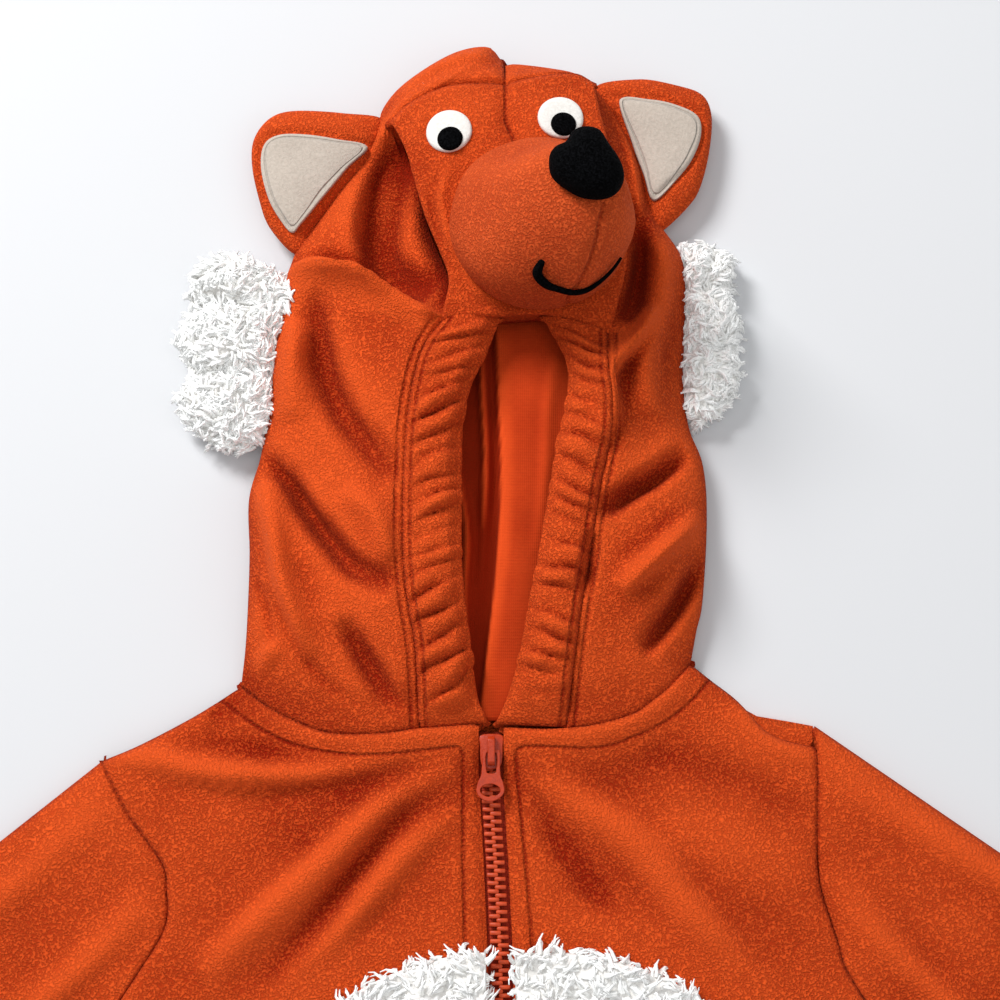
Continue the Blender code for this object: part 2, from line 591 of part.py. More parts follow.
def flat_layer(name, outline, material, thickness=BACK, foot=0.0, holes=()):
    # A flat outline as a filled curve, half its thickness to each side.
    curve = bpy.data.curves.new(name, "CURVE")
    curve.dimensions = "2D"
    curve.fill_mode = "BOTH"
    curve.extrude = thickness * 0.5 * MM
    for points in (outline, *holes):
        spline = curve.splines.new("POLY")
        spline.points.add(len(points) - 1)
        for spline_point, point in zip(spline.points, points):
            spline_point.co = ((point[0] - ORIGIN_X) * MM, (point[1] - ORIGIN_Y) * MM, 0.0, 1.0)
        spline.use_cyclic_u = True
    item = bpy.data.objects.new(name, curve)
    costume.objects.link(item)
    item.location.z = (foot + thickness * 0.5) * MM
    return curve_to_mesh(item, material)


def curve_to_mesh(item, material):
    # The curve's closed solid as a mesh, with the caps welded on.
    bpy.context.view_layer.update()
    name = item.name
    evaluated = item.evaluated_get(bpy.context.evaluated_depsgraph_get())
    mesh = bpy.data.meshes.new_from_object(evaluated)
    mesh.transform(item.matrix_world)
    bpy.data.objects.remove(item, do_unlink=True)
    bm = bmesh.new()
    bm.from_mesh(mesh)
    bpy.data.meshes.remove(mesh)
    bmesh.ops.remove_doubles(bm, verts=bm.verts, dist=0.00002)
    return finish_mesh(bm, name, material, smooth=False)


def build_front(side):
    # Columns follow the band, the hood side and the shoulder along the top edge.
    sign = SIGN[side]
    start = inner_x(side, 0)
    seam = BAND_SEAM[side][0][0]
    corner = NECK_CORNER[side][0]
    end = SHOULDER[side][-1][0]
    columns = [start, (start + seam) / 2]
    columns += [seam + (corner - seam) * k / HOOD_COLUMNS for k in range(HOOD_COLUMNS)]
    columns += [corner + (end - corner) * share for share in (0.0, 0.3, 0.62, 0.9, 1.0)]
    shares = [(x - start) / (end - start) for x in columns]
    rows = ARM_ROWS + SIDE_ROWS
    first = ARMHOLE[side][0][0]
    rows = (first,) + rows[1:]
    top = []
    for y in rows:
        fade = max(1.0 - (first - y) / TOP_FADE, 0.0) ** 2
        low, high = inner_x(side, y), outer_x(side, y) - sign * SEAM
        points = []
        for share, column in zip(shares, columns):
            x = low + (high - low) * share
            raised = y + (top_y(side, column) - SEAM - first) * fade
            points.append((x, raised, front_height(side, x, raised)))
        top.append(points)
    return wall(f"front_{side}", top, drop(top, FLEECE), "fleece")


def build_back(side):
    # Half of the back, flat on the floor, cut along the centre back seam.
    sign = SIGN[side]
    neck = NECK_CORNER[side]
    outline = [(CENTRE_X + sign * SEAM, BACK_NECK_Y), (neck[0] * 0.6, BACK_NECK_Y + 0.5),
               (neck[0] - sign * 3.5, BACK_NECK_Y + 1.0)]
    outline += BACK_SHOULDER[side]
    for y in ARM_ROWS[1 if side == "right" else 0:-1]:
        outline.append((outer_x(side, y) - sign * (SEAM + 0.1), y))
    outline += [(outer_x(side, y) - sign * INSET, y) for y in (-142,) + SIDE_ROWS]
    legs = [y for y in reversed(SIDE_ROWS) if y < CROTCH_Y]
    outline += [(inner_x(side, y) + sign * INSET, y) for y in legs]
    outline += [(CENTRE_X + sign * SEAM, CROTCH_Y - 4)]
    return flat_layer(f"back_{side}", outline, "fleece")


def hood_ring(side):
    # Points of the hood's outline at even steps, moved in from the edge.
    line = outline_lines[side]
    points = []
    for k in range(31):
        share = k / 30
        here, ahead = line.at(max(share - 0.01, 0)), line.at(min(share + 0.01, 1))
        along = (ahead - here) / np.linalg.norm(ahead - here)
        inward = np.array((along[1], -along[0])) if side == "right" else np.array((-along[1], along[0]))
        points.append(tuple(line.at(share) + inward * INSET))
    return points


def build_hood_back(side):
    # Back of the hood under the sides, flat on the floor.
    sign = SIGN[side]
    gap = 2 * SEAM + 0.1
    inner = CENTRE_X + sign * SEAM
    ring = [point for point in hood_ring(side) if sign * (point[0] - inner) > 4]
    neck = NECK_CORNER[side]
    foot = [(inner, BACK_NECK_Y + gap), (neck[0] * 0.6, BACK_NECK_Y + gap + 0.5),
            (neck[0] - sign * 4, BACK_NECK_Y + gap + 1.0)]
    ring = [point for point in ring if point[1] > BACK_NECK_Y + 8]
    return flat_layer(f"hood_back_{side}", foot + ring + [(inner, 250.5)], "fleece")


def hood_rows(side):
    # For each row its seam point, its outline point and how far up the neck seam fades out.
    outline = outline_lines[side]
    ties = [0.0] + [outline.nearest(*point)[1] for point in HOOD_TIES[side]] + [1.0]
    parts = ((band_seams[side], BAND_ROWS), (face_edges[side], FACE_ROWS),
             (top_seams[side], CROWN_ROWS))
    rows = []
    for part, (line, count) in enumerate(parts):
        for k in range(count):
            share = k / count
            rows.append((line.at(share), outline.at(ties[part] + (ties[part + 1] - ties[part]) * share)))
    rows.append((top_seams[side].at(1.0), outline.at(1.0)))
    return rows


def outward(points, k, side):
    # Unit step from a row's seam toward the hood side's own cloth.
    before, after = points[max(k - 1, 0)][:2], points[min(k + 1, len(points) - 1)][:2]
    along = (after - before) / np.linalg.norm(after - before)
    return np.array((-along[1], along[0])) if side == "right" else np.array((along[1], -along[0]))


def build_hood_side(side):
    sign = SIGN[side]
    rows = hood_rows(side)
    seams = [row[0] for row in rows]
    start, corner = BAND_SEAM[side][0][0], NECK_CORNER[side][0]
    top = []
    reach = 0.0
    for k, (seam, edge) in enumerate(rows):
        if k:
            reach += np.linalg.norm(seams[k][:2] - seams[k - 1][:2])
        fade = max(1.0 - reach / 60.0, 0.0) ** 2
        inner = seam[:2] + outward(seams, k, side) * SEAM
        if k == len(rows) - 1:
            inner = seam[:2] + np.array((sign * SEAM, SEAM))
            edge = edge + np.array((sign * SEAM, 0))
        points = []
        for column in range(HOOD_COLUMNS + 1):
            across = column / HOOD_COLUMNS
            x, y = inner + (edge[:2] - inner) * across
            level = seams[0][1] + (NECK_CORNER[side][1] - seams[0][1]) * across
            y += (top_y(side, start + (corner - start) * across) + SEAM - level) * fade
            points.append((x, y, hood_height(side, x, y, seam[2], across)))
        top.append(points)
    return wall(f"hood_side_{side}", top, drop(top, FLEECE), "fleece")


def build_band(side):
    # Elastic casing at the face opening: gathers are raised on top, the inside is plain.
    sign = SIGN[side]
    seam, edge = band_seams[side], band_edges[side]
    rows = GATHERS * 4
    columns = (0.0, 0.14, 0.5, 0.84, 1.0)
    top, under = [], []
    for k in range(rows + 1):
        share = k / rows
        outer = seam.at(share) - np.array((sign * SEAM, 0, 0))
        inner = edge.at(share)
        if k == 0:
            outer[1] += SEAM
            inner[1] += SEAM
        if k == rows:
            outer[1] -= SEAM
            inner[1] -= SEAM
        upper, lower = [], []
        for across in columns:
            point = outer + (inner - outer) * across
            puff = math.sin(math.pi * min(across * 1.04, 1.0)) ** 0.7
            wave = 0.5 + 0.5 * math.cos(2 * math.pi * (share * GATHERS + 0.25 * across * sign))
            uneven = 1.0 + 0.35 * math.sin(5.1 * share * GATHERS)
            ends = smooth_step(share * 14) * smooth_step((1 - share) * 14)
            lift = puff * (1.6 + 1.9 * wave * uneven * ends) - 2.2 * smooth_step((across - 0.7) / 0.3)
            upper.append((point[0], point[1], point[2] + lift))
            lower.append((point[0], point[1], point[2] - FLEECE - 1.6 * smooth_step(across * 3)))
        top.append(upper)
        under.append(lower)
    return wall(f"hood_band_{side}", top, under, "fleece")


def build_lining():
    # Jersey lining where the face opening shows it, and a little way under the face panel.
    top = []
    for k in range(LINING_ROWS + 1):
        share = 0.02 + 0.93 * min(k / (LINING_ROWS - 1), 1.0)
        low = band_seams["right"].at(share)[:2] + np.array((LINING_INSET, 0))
        high = band_seams["left"].at(share)[:2] - np.array((LINING_INSET, 0))
        if k == LINING_ROWS:
            low[1] += LINING_TOP
            high[1] += LINING_TOP
        points = []
        for column in range(LINING_COLUMNS + 1):
            x, y = low + (high - low) * column / LINING_COLUMNS
            edge = min(column, LINING_COLUMNS - column) / 2
            height = LINING_HEIGHT + fold_height(lining_folds, x, y)
            height = BACK + LAYER + JERSEY + (height - BACK - LAYER - JERSEY) * smooth_step(edge)
            points.append((x, y, height))
        top.append(points)
    return wall("hood_lining", top, drop(top, JERSEY), "jersey")


def build_face():
    # Forehead panel between the hood sides, over the band tops, carrying eyes and muzzle.
    foot = Line(FACE_FOOT)
    crown = [top_seams["right"].at(k / 5)[:2] for k in range(6)]
    crown += [top_seams["left"].at(k / 5)[:2] for k in range(4, -1, -1)]
    top = []
    for k in range(FACE_ROWS + 1):
        share = k / FACE_ROWS
        low, high = face_edges["right"].at(share)[:2], face_edges["left"].at(share)[:2]
        points = []
        for column in range(11):
            across = column / 10
            point = low + (high - low) * across
            straight_foot = foot.at(0)[:2] * (1 - across) + foot.at(1)[:2] * across
            straight_top = crown[0] * (1 - across) + crown[-1] * across
            point = point + (foot.at(across)[:2] - straight_foot) * (1 - share) ** 3
            point = point + (crown[column] - straight_top) * share ** 3
            point[0] += SEAM * (1 - 2 * across)
            point[1] += SEAM * (1 - share) * 1.6 - SEAM * share
            points.append((point[0], point[1], face_height(*point)))
        top.append(points)
    return wall("face", top, drop(top, FLEECE), "fleece")


def muzzle_row(level):
    # Middle and half sizes of the muzzle at a height.
    columns = list(zip(*MUZZLE))
    return [float(np.interp(level, columns[0], column)) for column in columns[1:]]


def muzzle_point(angle, level, out=0.0):
    x, y, half_x, half_y = muzzle_row(level)
    angle = math.radians(angle)
    return (x + (half_x + out) * math.cos(angle), y + (half_y + out) * math.sin(angle), level)


def build_muzzle():
    # Stuffed muzzle, standing on the face panel and leaning toward the wearer's left.
    bm = bmesh.new()
    angles = [360 * k / MUZZLE_SIDES for k in range(MUZZLE_SIDES)]
    rings = []
    foot = [muzzle_point(angle, MUZZLE[0][0]) for angle in angles]
    middle_x, middle_y = MUZZLE[0][1:3]
    tops = [(x, y, face_height(x, y) + LAYER) for x, y, level in foot]
    inner = []
    for x, y, level in foot:
        x, y = (x + middle_x) / 2, (y + middle_y) / 2
        inner.append((x, y, face_height(x, y) + LAYER))
    rings.append([put(bm, point) for point in inner])
    rings.append([put(bm, point) for point in tops])
    for row in MUZZLE[1:]:
        rings.append([put(bm, muzzle_point(angle, row[0])) for angle in angles])
    skin(bm, rings, closed=True)
    tip = put(bm, (MUZZLE[-1][1] + 0.5, MUZZLE[-1][2], MUZZLE[-1][0] + 0.4))
    heel = put(bm, (middle_x, middle_y, face_height(middle_x, middle_y) + LAYER))
    for ring, end in ((rings[-1], tip), (rings[0], heel)):
        for k, vert in enumerate(ring):
            bm.faces.new((vert, ring[(k + 1) % len(ring)], end))
    return finish_mesh(bm, "muzzle", "fleece")


def build_mouth():
    # Stitched smile, a raised cord along the lower side of the muzzle.
    line = Line(MOUTH_LINE)
    curve = bpy.data.curves.new("mouth", "CURVE")
    curve.dimensions = "3D"
    curve.bevel_depth = MOUTH_RADIUS * MM
    curve.bevel_resolution = 1
    curve.use_fill_caps = True
    spline = curve.splines.new("POLY")
    spline.points.add(MOUTH_POINTS - 1)
    for k in range(MOUTH_POINTS):
        angle, level = line.at(k / (MOUTH_POINTS - 1))
        x, y, z = muzzle_point(angle, level, MOUTH_OUT)
        place = ((x - ORIGIN_X) * MM, (y - ORIGIN_Y) * MM, (z + MOUTH_UP) * MM)
        spline.points[k].co = (*place, 1.0)
    item = bpy.data.objects.new("mouth", curve)
    costume.objects.link(item)
    return curve_to_mesh(item, "black plush")


def nose_ring(count=20):
    angles, radii = zip(*sorted(NOSE_OUTLINE))
    angles = (angles[-1] - 360,) + angles + (angles[0] + 360,)
    radii = (radii[-1],) + radii + (radii[0],)
    ring = []
    for k in range(count):
        angle = 360 * k / count
        radius = float(np.interp(angle, angles, radii))
        ring.append(np.array((NOSE_MIDDLE[0] + radius * math.cos(math.radians(angle)),
                              NOSE_MIDDLE[1] + radius * math.sin(math.radians(angle)))))
    return ring


def build_nose():
    def top(x, y, scale):
        return NOSE_FOOT + 1.5 + NOSE_RISE * math.sqrt(1 - scale ** 2.4)

    def under(x, y, scale):
        return NOSE_FOOT + 1.2 * scale ** 4

    return pad("nose", nose_ring(), NOSE_MIDDLE, under, top, "black plush",
               scales=(1.0, 0.93, 0.72, 0.4))


def build_eye(side):
    # Felt disc on the face panel and a smaller black disc on it.
    x, y = EYES[side]
    shift = PUPIL_SHIFT[side]
    pupil = (x + shift[0], y + shift[1])

    def layer(lift, edge=0.0):
        # Heights over the panel, a little lower on the outline itself.
        return lambda a, b, scale: face_height(a, b) + lift - (edge if scale > 0.99 else 0.0)

    pad(f"eye_{side}", circle((x, y), EYE_RADIUS, 20), (x, y), layer(LAYER),
        layer(LAYER + FELT, 0.3 * FELT), "felt", scales=(1.0, 0.9, 0.5))
    lift = 2 * LAYER + FELT
    pad(f"pupil_{side}", circle(pupil, PUPIL_RADIUS, 14), pupil, layer(lift),
        layer(lift + PUPIL_WALL, 0.4), "black plush", scales=(1.0, 0.8))


def ear_top(scale):
    return EAR_FOOT + EAR_RIM + EAR_RISE * (1 - min(scale, 1.0) ** 3)


def build_ear(side):
    outline = around(EAR[side], 26)
    middle = EAR_MIDDLE[side]
    pad(f"ear_{side}", outline, middle, lambda x, y, scale: EAR_FOOT - EAR_UNDER * (1 - scale ** 3),
        lambda x, y, scale: ear_top(scale), "fleece", scales=(1.0, 0.93, 0.7, 0.35))


def ear_cover(side, x, y):
    # Height of the ear's top at a point, from the share of the way to its outline.
    middle = np.array(EAR_MIDDLE[side], dtype=float)
    point = np.array((x, y)) - middle
    angle = math.atan2(point[1], point[0])
    ring = [p - middle for p in around(EAR[side], 60)]
    angles = np.array([math.atan2(p[1], p[0]) for p in ring])
    radii = np.array([math.hypot(*p) for p in ring])
    order = np.argsort(angles)
    radius = np.interp(angle, angles[order], radii[order], period=2 * math.pi)
    return ear_top(math.hypot(*point) / radius)


def build_ear_felt(side):
    def layer(lift):
        return lambda x, y, scale: ear_cover(side, x, y) + lift

    pad(f"ear_felt_{side}", around(EAR_FELT[side], 20), EAR_FELT_MIDDLE[side],
        layer(EAR_FELT_LIFT), layer(EAR_FELT_LIFT + FELT), "felt", scales=(1.0, 0.7, 0.35))


def build_cheek(side):
    def under(x, y, scale):
        inside = max(-outline_lines[side].nearest(x, y)[0], 0.0) if side == "right" else 0.0
        return CHEEK_FOOT[side] + CHEEK_SLOPE * inside

    def top(x, y, scale):
        return under(x, y, scale) + CHEEK_RISE * math.sqrt(1 - 0.94 * scale ** 3)

    pad(f"cheek_{side}", around(CHEEK[side], 30), CHEEK_MIDDLE[side], under, top, "sherpa",
        scales=(1.0, 0.9, 0.66, 0.33))


def belly_edge(side, y):
    drop_share = min(abs((y - BELLY_MIDDLE[1]) / BELLY_HALF[1]), 1.0)
    half = BELLY_HALF[0] * (1 - drop_share ** BELLY_POWER) ** (1 / BELLY_POWER)
    return BELLY_MIDDLE[0] + SIGN[side] * half


def build_belly(side):
    # Half of the fur patch, on the front's own surface.
    sign = SIGN[side]
    rows = 15
    top, under = [], []
    for k in range(rows + 1):
        angle = math.pi * k / rows
        y = BELLY_MIDDLE[1] + (BELLY_HALF[1] - 0.4) * math.cos(angle)
        low = zip_x(y) + sign * (ZIP_GAP + 0.2)
        high = belly_edge(side, y)
        high = high if sign * (high - low) > 5 else low + sign * 5
        upper, lower = [], []
        for share in (0.0, 0.04, 0.2, 0.45, 0.7, 0.9, 1.0):
            x = low + (high - low) * share
            base = front_height(side, x, y) + LAYER
            edge = min(sign * (high - x), 400)
            ends = roll(BELLY_HALF[1] - abs(y - BELLY_MIDDLE[1]) + 1.0, 12)
            near = roll(edge + 1.2, 10) * roll(sign * (x - low) + 2.0, 5) * ends
            upper.append((x, y, base + 1.2 + (BELLY_RISE - 1.2) * near))
            lower.append((x, y, base + 0.15))
        top.append(upper)
        under.append(lower)
    return wall(f"belly_{side}", top, under, "sherpa")


def build_sleeve(side):
    # Flattened tube, open at the armhole and at the cuff.
    sign = SIGN[side]
    rows = list(ARM_ROWS)
    if side == "left":
        rows[0] = ARMHOLE["left"][0][0]
    hole = [np.array((outer_x(side, y) + sign * SEAM, y)) for y in rows]
    if side == "left":
        hole = [np.array((SHOULDER["left"][-1][0] + 2 * SEAM, SLEEVE_TOP_LEFT))] + hole
    steps = [np.linalg.norm(b - a) for a, b in zip(hole, hole[1:])]
    shares = np.concatenate(([0.0], np.cumsum(steps))) / sum(steps)
    cuff = [np.array(point, dtype=float) for point in CUFF[side]]
    outer, inner = [], []
    for station in SLEEVE_STATIONS:
        ring = [start + (cuff[0] + (cuff[1] - cuff[0]) * share - start) * station
                for start, share in zip(hole, shares)]
        ring = np.array(ring)
        span = np.linalg.norm(ring[-1] - ring[0])
        shrink = 1.0 - 2 * FLEECE / span
        middle = (ring[0] + ring[-1]) / 2
        upper, upper_in, lower, lower_in = [], [], [], []
        for point, share in zip(ring, shares):
            x, y = point
            from_edge = min(share, 1 - share) * span
            height = SLEEVE_HEIGHT + fold_height(sleeve_folds[side], x, y)
            flat, flat_under = roll(from_edge, SLEEVE_ROLL), roll(from_edge, SLEEVE_UNDER_ROLL)
            crest = SLEEVE_MID + (height - SLEEVE_MID) * flat
            low = SLEEVE_MID * (1 - flat_under)
            inside = middle + (point - middle) * shrink
            if station == 0.0:
                inside = point + (inside - point) * 0.5
            upper.append((x, y, crest))
            lower.append((x, y, low))
            upper_in.append((*inside, SLEEVE_MID + (height - FLEECE - SLEEVE_MID) * flat))
            lower_in.append((*inside, SLEEVE_MID - (SLEEVE_MID - FLEECE) * flat_under))
        outer.append(upper + lower[-2:0:-1])
        inner.append(upper_in + lower_in[-2:0:-1])
    bm = bmesh.new()
    outer = [[put(bm, point) for point in ring] for ring in outer]
    inner = [[put(bm, point) for point in ring] for ring in inner]
    skin(bm, outer, closed=True)
    skin(bm, inner, closed=True)
    skin(bm, [outer[0], inner[0]], closed=True)
    skin(bm, [outer[-1], inner[-1]], closed=True)
    return finish_mesh(bm, f"sleeve_{side}", "fleece")


def build_tape(side):
    sign = SIGN[side]
    top = []
    for y in (2.0, *ZIP_ROWS, ZIP_END + 1.0):
        middle = zip_x(y)
        top.append([(middle + sign * offset, y, TAPE_TOP) for offset in (0.3, TAPE_HALF)])
    return wall(f"zip_tape_{side}", top, drop(top, TAPE_WALL), "zip tape")


def build_chain():
    top = []
    for y in (0.5, *ZIP_ROWS, ZIP_END + 4.0):
        middle = zip_x(y)
        top.append([(middle + offset, y, CHAIN_TOP - 0.6 * (abs(offset) > 3))
                    for offset in (-CHAIN_HALF, -CHAIN_HALF * 0.6, CHAIN_HALF * 0.6, CHAIN_HALF)])
    under = [[(x, y, TAPE_TOP + 0.3) for x, y, z in row] for row in top]
    return wall("zip_chain", top, under, "zip plastic")


def build_slider():
    # Plate on the chain and the bridge that holds the pull tab.
    middle = zip_x(HINGE_Y)
    foot = CHAIN_TOP + SEAM
    body = flat_layer("zip_slider", [(middle + x, y) for x, y in SLIDER_PLATE], "zip plastic",
                      thickness=SLIDER_WALL, foot=foot)
    profile = BRIDGE_OUTER + BRIDGE_INNER[::-1]
    bm = bmesh.new()
    rows = [[put(bm, (middle + x, y, foot + z)) for y, z in profile]
            for x in (-BRIDGE_HALF, BRIDGE_HALF)]
    skin(bm, rows, closed=True)
    for row in rows:
        bm.faces.new(row)
    bridge = finish_mesh(bm, "bridge", "zip plastic", smooth=False)
    join = body.modifiers.new("bridge", "BOOLEAN")
    join.operation = "UNION"
    join.object = bridge
    bpy.context.view_layer.update()
    evaluated = body.evaluated_get(bpy.context.evaluated_depsgraph_get())
    body.data = bpy.data.meshes.new_from_object(evaluated)
    body.modifiers.clear()
    bpy.data.objects.remove(bridge, do_unlink=True)
    return body


def build_pull_tab():
    # Flat loop with a slot for the bridge and an oval hole, lying along the chain.
    middle = zip_x(HINGE_Y)
    right, left = [[(middle + sign * half + TAB_LEAN * (HINGE_Y - y), y) for y, half in TAB_HALVES]
                   for sign in (1, -1)]
    slot = [(middle + x, y) for x, y in TAB_SLOT]
    hole = [(middle + TAB_HOLE[0] + TAB_HOLE_HALF[0] * x, TAB_HOLE[1] + TAB_HOLE_HALF[1] * y)
            for x, y in circle((0, 0), 1.0, 16)]
    tab = flat_layer("zip_pull", right + left[::-1], "zip plastic", thickness=TAB_WALL,
                     foot=HINGE_Z - TAB_WALL / 2, holes=(slot, hole))
    place = ((middle - ORIGIN_X) * MM, (HINGE_Y - ORIGIN_Y) * MM, HINGE_Z * MM)
    tab.data.transform(Matrix.Translation([-value for value in place]))
    tab.location = place
    return tab


clear_scene()
costume = bpy.data.collections.new("fox_costume")
bpy.context.scene.collection.children.link(costume)
materials = {name: make_material(name) for name in COLOURS}

for side in ("right", "left"):
    build_back(side)
    build_front(side)
    build_sleeve(side)
    build_hood_back(side)
    build_hood_side(side)
    build_band(side)
    build_eye(side)
    build_ear(side)
    build_ear_felt(side)
    build_cheek(side)
    build_belly(side)
    build_tape(side)
build_lining()
build_face()
build_muzzle()
build_nose()
build_mouth()
build_chain()
build_slider()
build_pull_tab()
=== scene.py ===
import json
import math

import bmesh
import bpy
import numpy as np
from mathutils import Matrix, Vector

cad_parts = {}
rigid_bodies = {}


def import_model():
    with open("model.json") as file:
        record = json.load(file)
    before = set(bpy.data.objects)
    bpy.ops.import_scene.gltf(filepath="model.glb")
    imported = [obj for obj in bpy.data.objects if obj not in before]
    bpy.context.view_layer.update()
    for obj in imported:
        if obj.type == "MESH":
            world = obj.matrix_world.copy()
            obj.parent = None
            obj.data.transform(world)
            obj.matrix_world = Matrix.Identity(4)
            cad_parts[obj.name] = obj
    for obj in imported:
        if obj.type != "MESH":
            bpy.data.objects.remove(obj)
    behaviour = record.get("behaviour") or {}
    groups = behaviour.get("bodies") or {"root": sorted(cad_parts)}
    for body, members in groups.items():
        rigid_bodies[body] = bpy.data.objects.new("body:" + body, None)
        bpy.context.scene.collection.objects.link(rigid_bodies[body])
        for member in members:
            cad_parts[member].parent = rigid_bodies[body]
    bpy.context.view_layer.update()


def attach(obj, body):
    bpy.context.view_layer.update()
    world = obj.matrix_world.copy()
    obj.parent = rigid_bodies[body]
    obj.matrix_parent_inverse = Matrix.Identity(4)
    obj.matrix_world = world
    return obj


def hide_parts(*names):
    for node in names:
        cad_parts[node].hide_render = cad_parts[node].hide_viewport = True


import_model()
print("frame loaded")

# Fox costume in fleece, laid on its back. Tables are in millimetres: x to the wearer's left,
# y toward the hood from the top of the zip, z up from the floor. "flat" and "area" are in metres.
units = {"shift": (7.0, 215.2, 0.0), "scale": 0.001}

cloth = {
    "wall": 2.0,           # fleece of fronts and hood
    "jersey": 1.3,
    "seam": 0.02,          # half of the space where two pieces meet
    "floorWall": 2.3,      # the layer that lies on the floor
    "edge": 5.7,           # top of a front layer where it comes down to the floor
    "foldGain": 1.3,
    "seamDip": 1.1,        # how deep a seam pulls the pile down
    "seamReach": 1.6,
    # (inward, drop) of each step, where an edge is turned down to the layer below
    "turnedDown": ((0.0, 1.2), (0.1, 2.4), (0.4, 3.6)),
}
noSeam = 50.0              # stands for a distance where no seam or stitch is near

# seams that several pieces share, "right" and "left" are the wearer's
seams = {
    "armhole": {
        "right": ((-8, -140), (-25, -130.5), (-34, -124), (-44, -116.6), (-52, -115.1), (-65, -115.2),
                  (-81, -124.3), (-108, -141), (-140, -157)),
        "left": ((-3, 111), (-18, 110.9), (-32, 110.3), (-49, 110.2), (-70, 116), (-82, 120), (-108, 137),
                 (-140, 158)),
    },
    "side": {
        "right": ((-140, -157), (-195, -153), (-250, -151), (-350, -159), (-420, -158), (-690, -138)),
        "left": ((-140, 158), (-195, 155), (-250, 153), (-350, 161), (-420, 160), (-690, 140)),
    },
    "neck": {
        "right": ((-7.3, 4.4), (-20.8, 3.2), (-30, 2.4), (-39, 1.1), (-52, 0.7), (-62, 1.8), (-72, 5.7),
                  (-82, 11.1), (-91.5, 18.2)),
        "left": ((1.3, 3.2), (13.9, 2.5), (23.6, 2.8), (34.7, 4.2), (46.9, 8), (53.9, 12.9), (60, 17.9),
                 (67.5, 26.3)),
    },
    "shoulder": {
        "right": ((-91.5, 18.2), (-98, 14), (-108.2, 7.5), (-126.8, -2.4), (-140, -8)),
        "left": ((67.5, 26.3), (76, 19.5), (83, 14), (88.5, 8.2), (92.5, 3.4), (99.5, -0.4), (111, -3)),
    },
    "neckHeight": ((0, 13), (22, 15.5), (40, 15.5), (60, 13), (72, 10), (90, 5.7)),
    "zip": ((0, -3.0), (-22, -3.1), (-46, -1.4), (-73, 0.0), (-110, 1.0), (-390, 1.0)),
    "innerLeg": ((0, 0.25), (12, 5.5), (30, 13), (80, 27), (160, 38), (288, 46)),
    "zipGap": 4.3, "zipEnd": -388.0, "crotch": -402.0, "hem": -690.0, "middle": 1.0,
    "armpit": -140.0,
    "band": {
        "right": ((-28.2, 2.7, 15.5), (-28.6, 14, 19), (-29.6, 31, 23), (-32.2, 46, 25.5), (-33.8, 62, 26.5),
                  (-34, 90, 27), (-33, 110, 27), (-30.6, 126, 27), (-26.8, 138, 27), (-19.6, 148.2, 27)),
        "left": ((23.3, 3.1, 15.5), (24.4, 14, 19), (26.5, 31, 23), (28.7, 46, 25.5), (31.2, 60, 26.5),
                 (35.2, 86, 27), (39, 104, 27), (39.3, 116, 27), (38, 129, 27), (38.4, 142.6, 27)),
    },
    "bandEdge": {
        "right": ((-5.2, 4.8, 14), (-9, 14, 17), (-10.8, 28, 20.5), (-13.2, 46, 23.5), (-14.4, 62, 24.5),
                  (-14.6, 88, 25), (-14.1, 110, 25), (-11.2, 124, 25), (-6.6, 134, 25), (-0.9, 148.8, 25)),
        "left": ((-0.6, 4.4, 14), (3.8, 14, 17), (8, 29, 20.5), (11, 45, 23.5), (14, 60, 24.5),
                 (18.5, 86, 25), (21.5, 104, 25), (24.6, 118, 25), (24.6, 132, 25), (16, 149.4, 25)),
    },
    "faceEdge": {
        "right": ((-19.6, 148.2, 27), (-16.9, 161, 27), (-20.2, 172, 27), (-25.5, 185, 27),
                  (-29.5, 198.8, 27), (-32.5, 210, 27), (-36.5, 219.5, 27), (-39.5, 224, 26.5)),
        "left": ((38.4, 142.6, 27), (40.8, 153.5, 27), (44.2, 170, 27), (43.2, 186, 27), (40.5, 200, 27),
                 (38.2, 212, 27), (35.6, 224, 27), (33, 238.6, 26.5)),
    },
    "crown": {
        "right": ((-39.5, 224, 26.5), (-32.9, 230, 27), (-20, 235.8, 28), (-7, 237.1, 28.5),
                  (2, 236.7, 28.5)),
        "left": ((33, 238.6, 26.5), (28.3, 241.3, 27), (21.1, 241.3, 27.5), (10.2, 239, 28),
                 (2, 236.7, 28.5)),
    },
    "faceFoot": ((-19.6, 148.2), (-0.9, 149.4), (15.9, 150.2), (27, 147.6), (38.4, 142.6)),
    "hood": {
        "right": ((-91.5, 18.2), (-90.3, 32), (-89.8, 48), (-89.7, 66), (-90.4, 86), (-86.5, 102),
                  (-84, 122), (-83, 141), (-80, 160), (-76.3, 177), (-69.6, 187.5), (-59.8, 202.5),
                  (-50.4, 215.6), (-46.4, 226.5), (-43.5, 236), (-35.4, 245.6), (-18.7, 256.8), (-5, 259.8),
                  (0.8, 255)),
        "left": ((67.5, 26.3), (69.8, 38), (72.2, 49), (74.3, 78), (73.4, 98), (68.6, 112), (66.9, 129),
                 (68.2, 160), (67.2, 176), (60, 188.5), (55.6, 198), (53.4, 210), (46, 227), (37.5, 241),
                 (29.8, 248.2), (20.5, 250.8), (8, 252.6), (1.4, 252.8)),
    },
}
sides = {"right": -1.0, "left": 1.0}


def smoothStep(value):
    value = np.clip(value, 0.0, 1.0)
    return value * value * (3.0 - 2.0 * value)


def roll(distance, reach):
    # quarter round, 0 at an edge and 1 at the reach
    share = np.clip(np.asarray(distance) / reach, 0.0, 1.0)
    return np.sqrt(1.0 - (1.0 - share) ** 2)


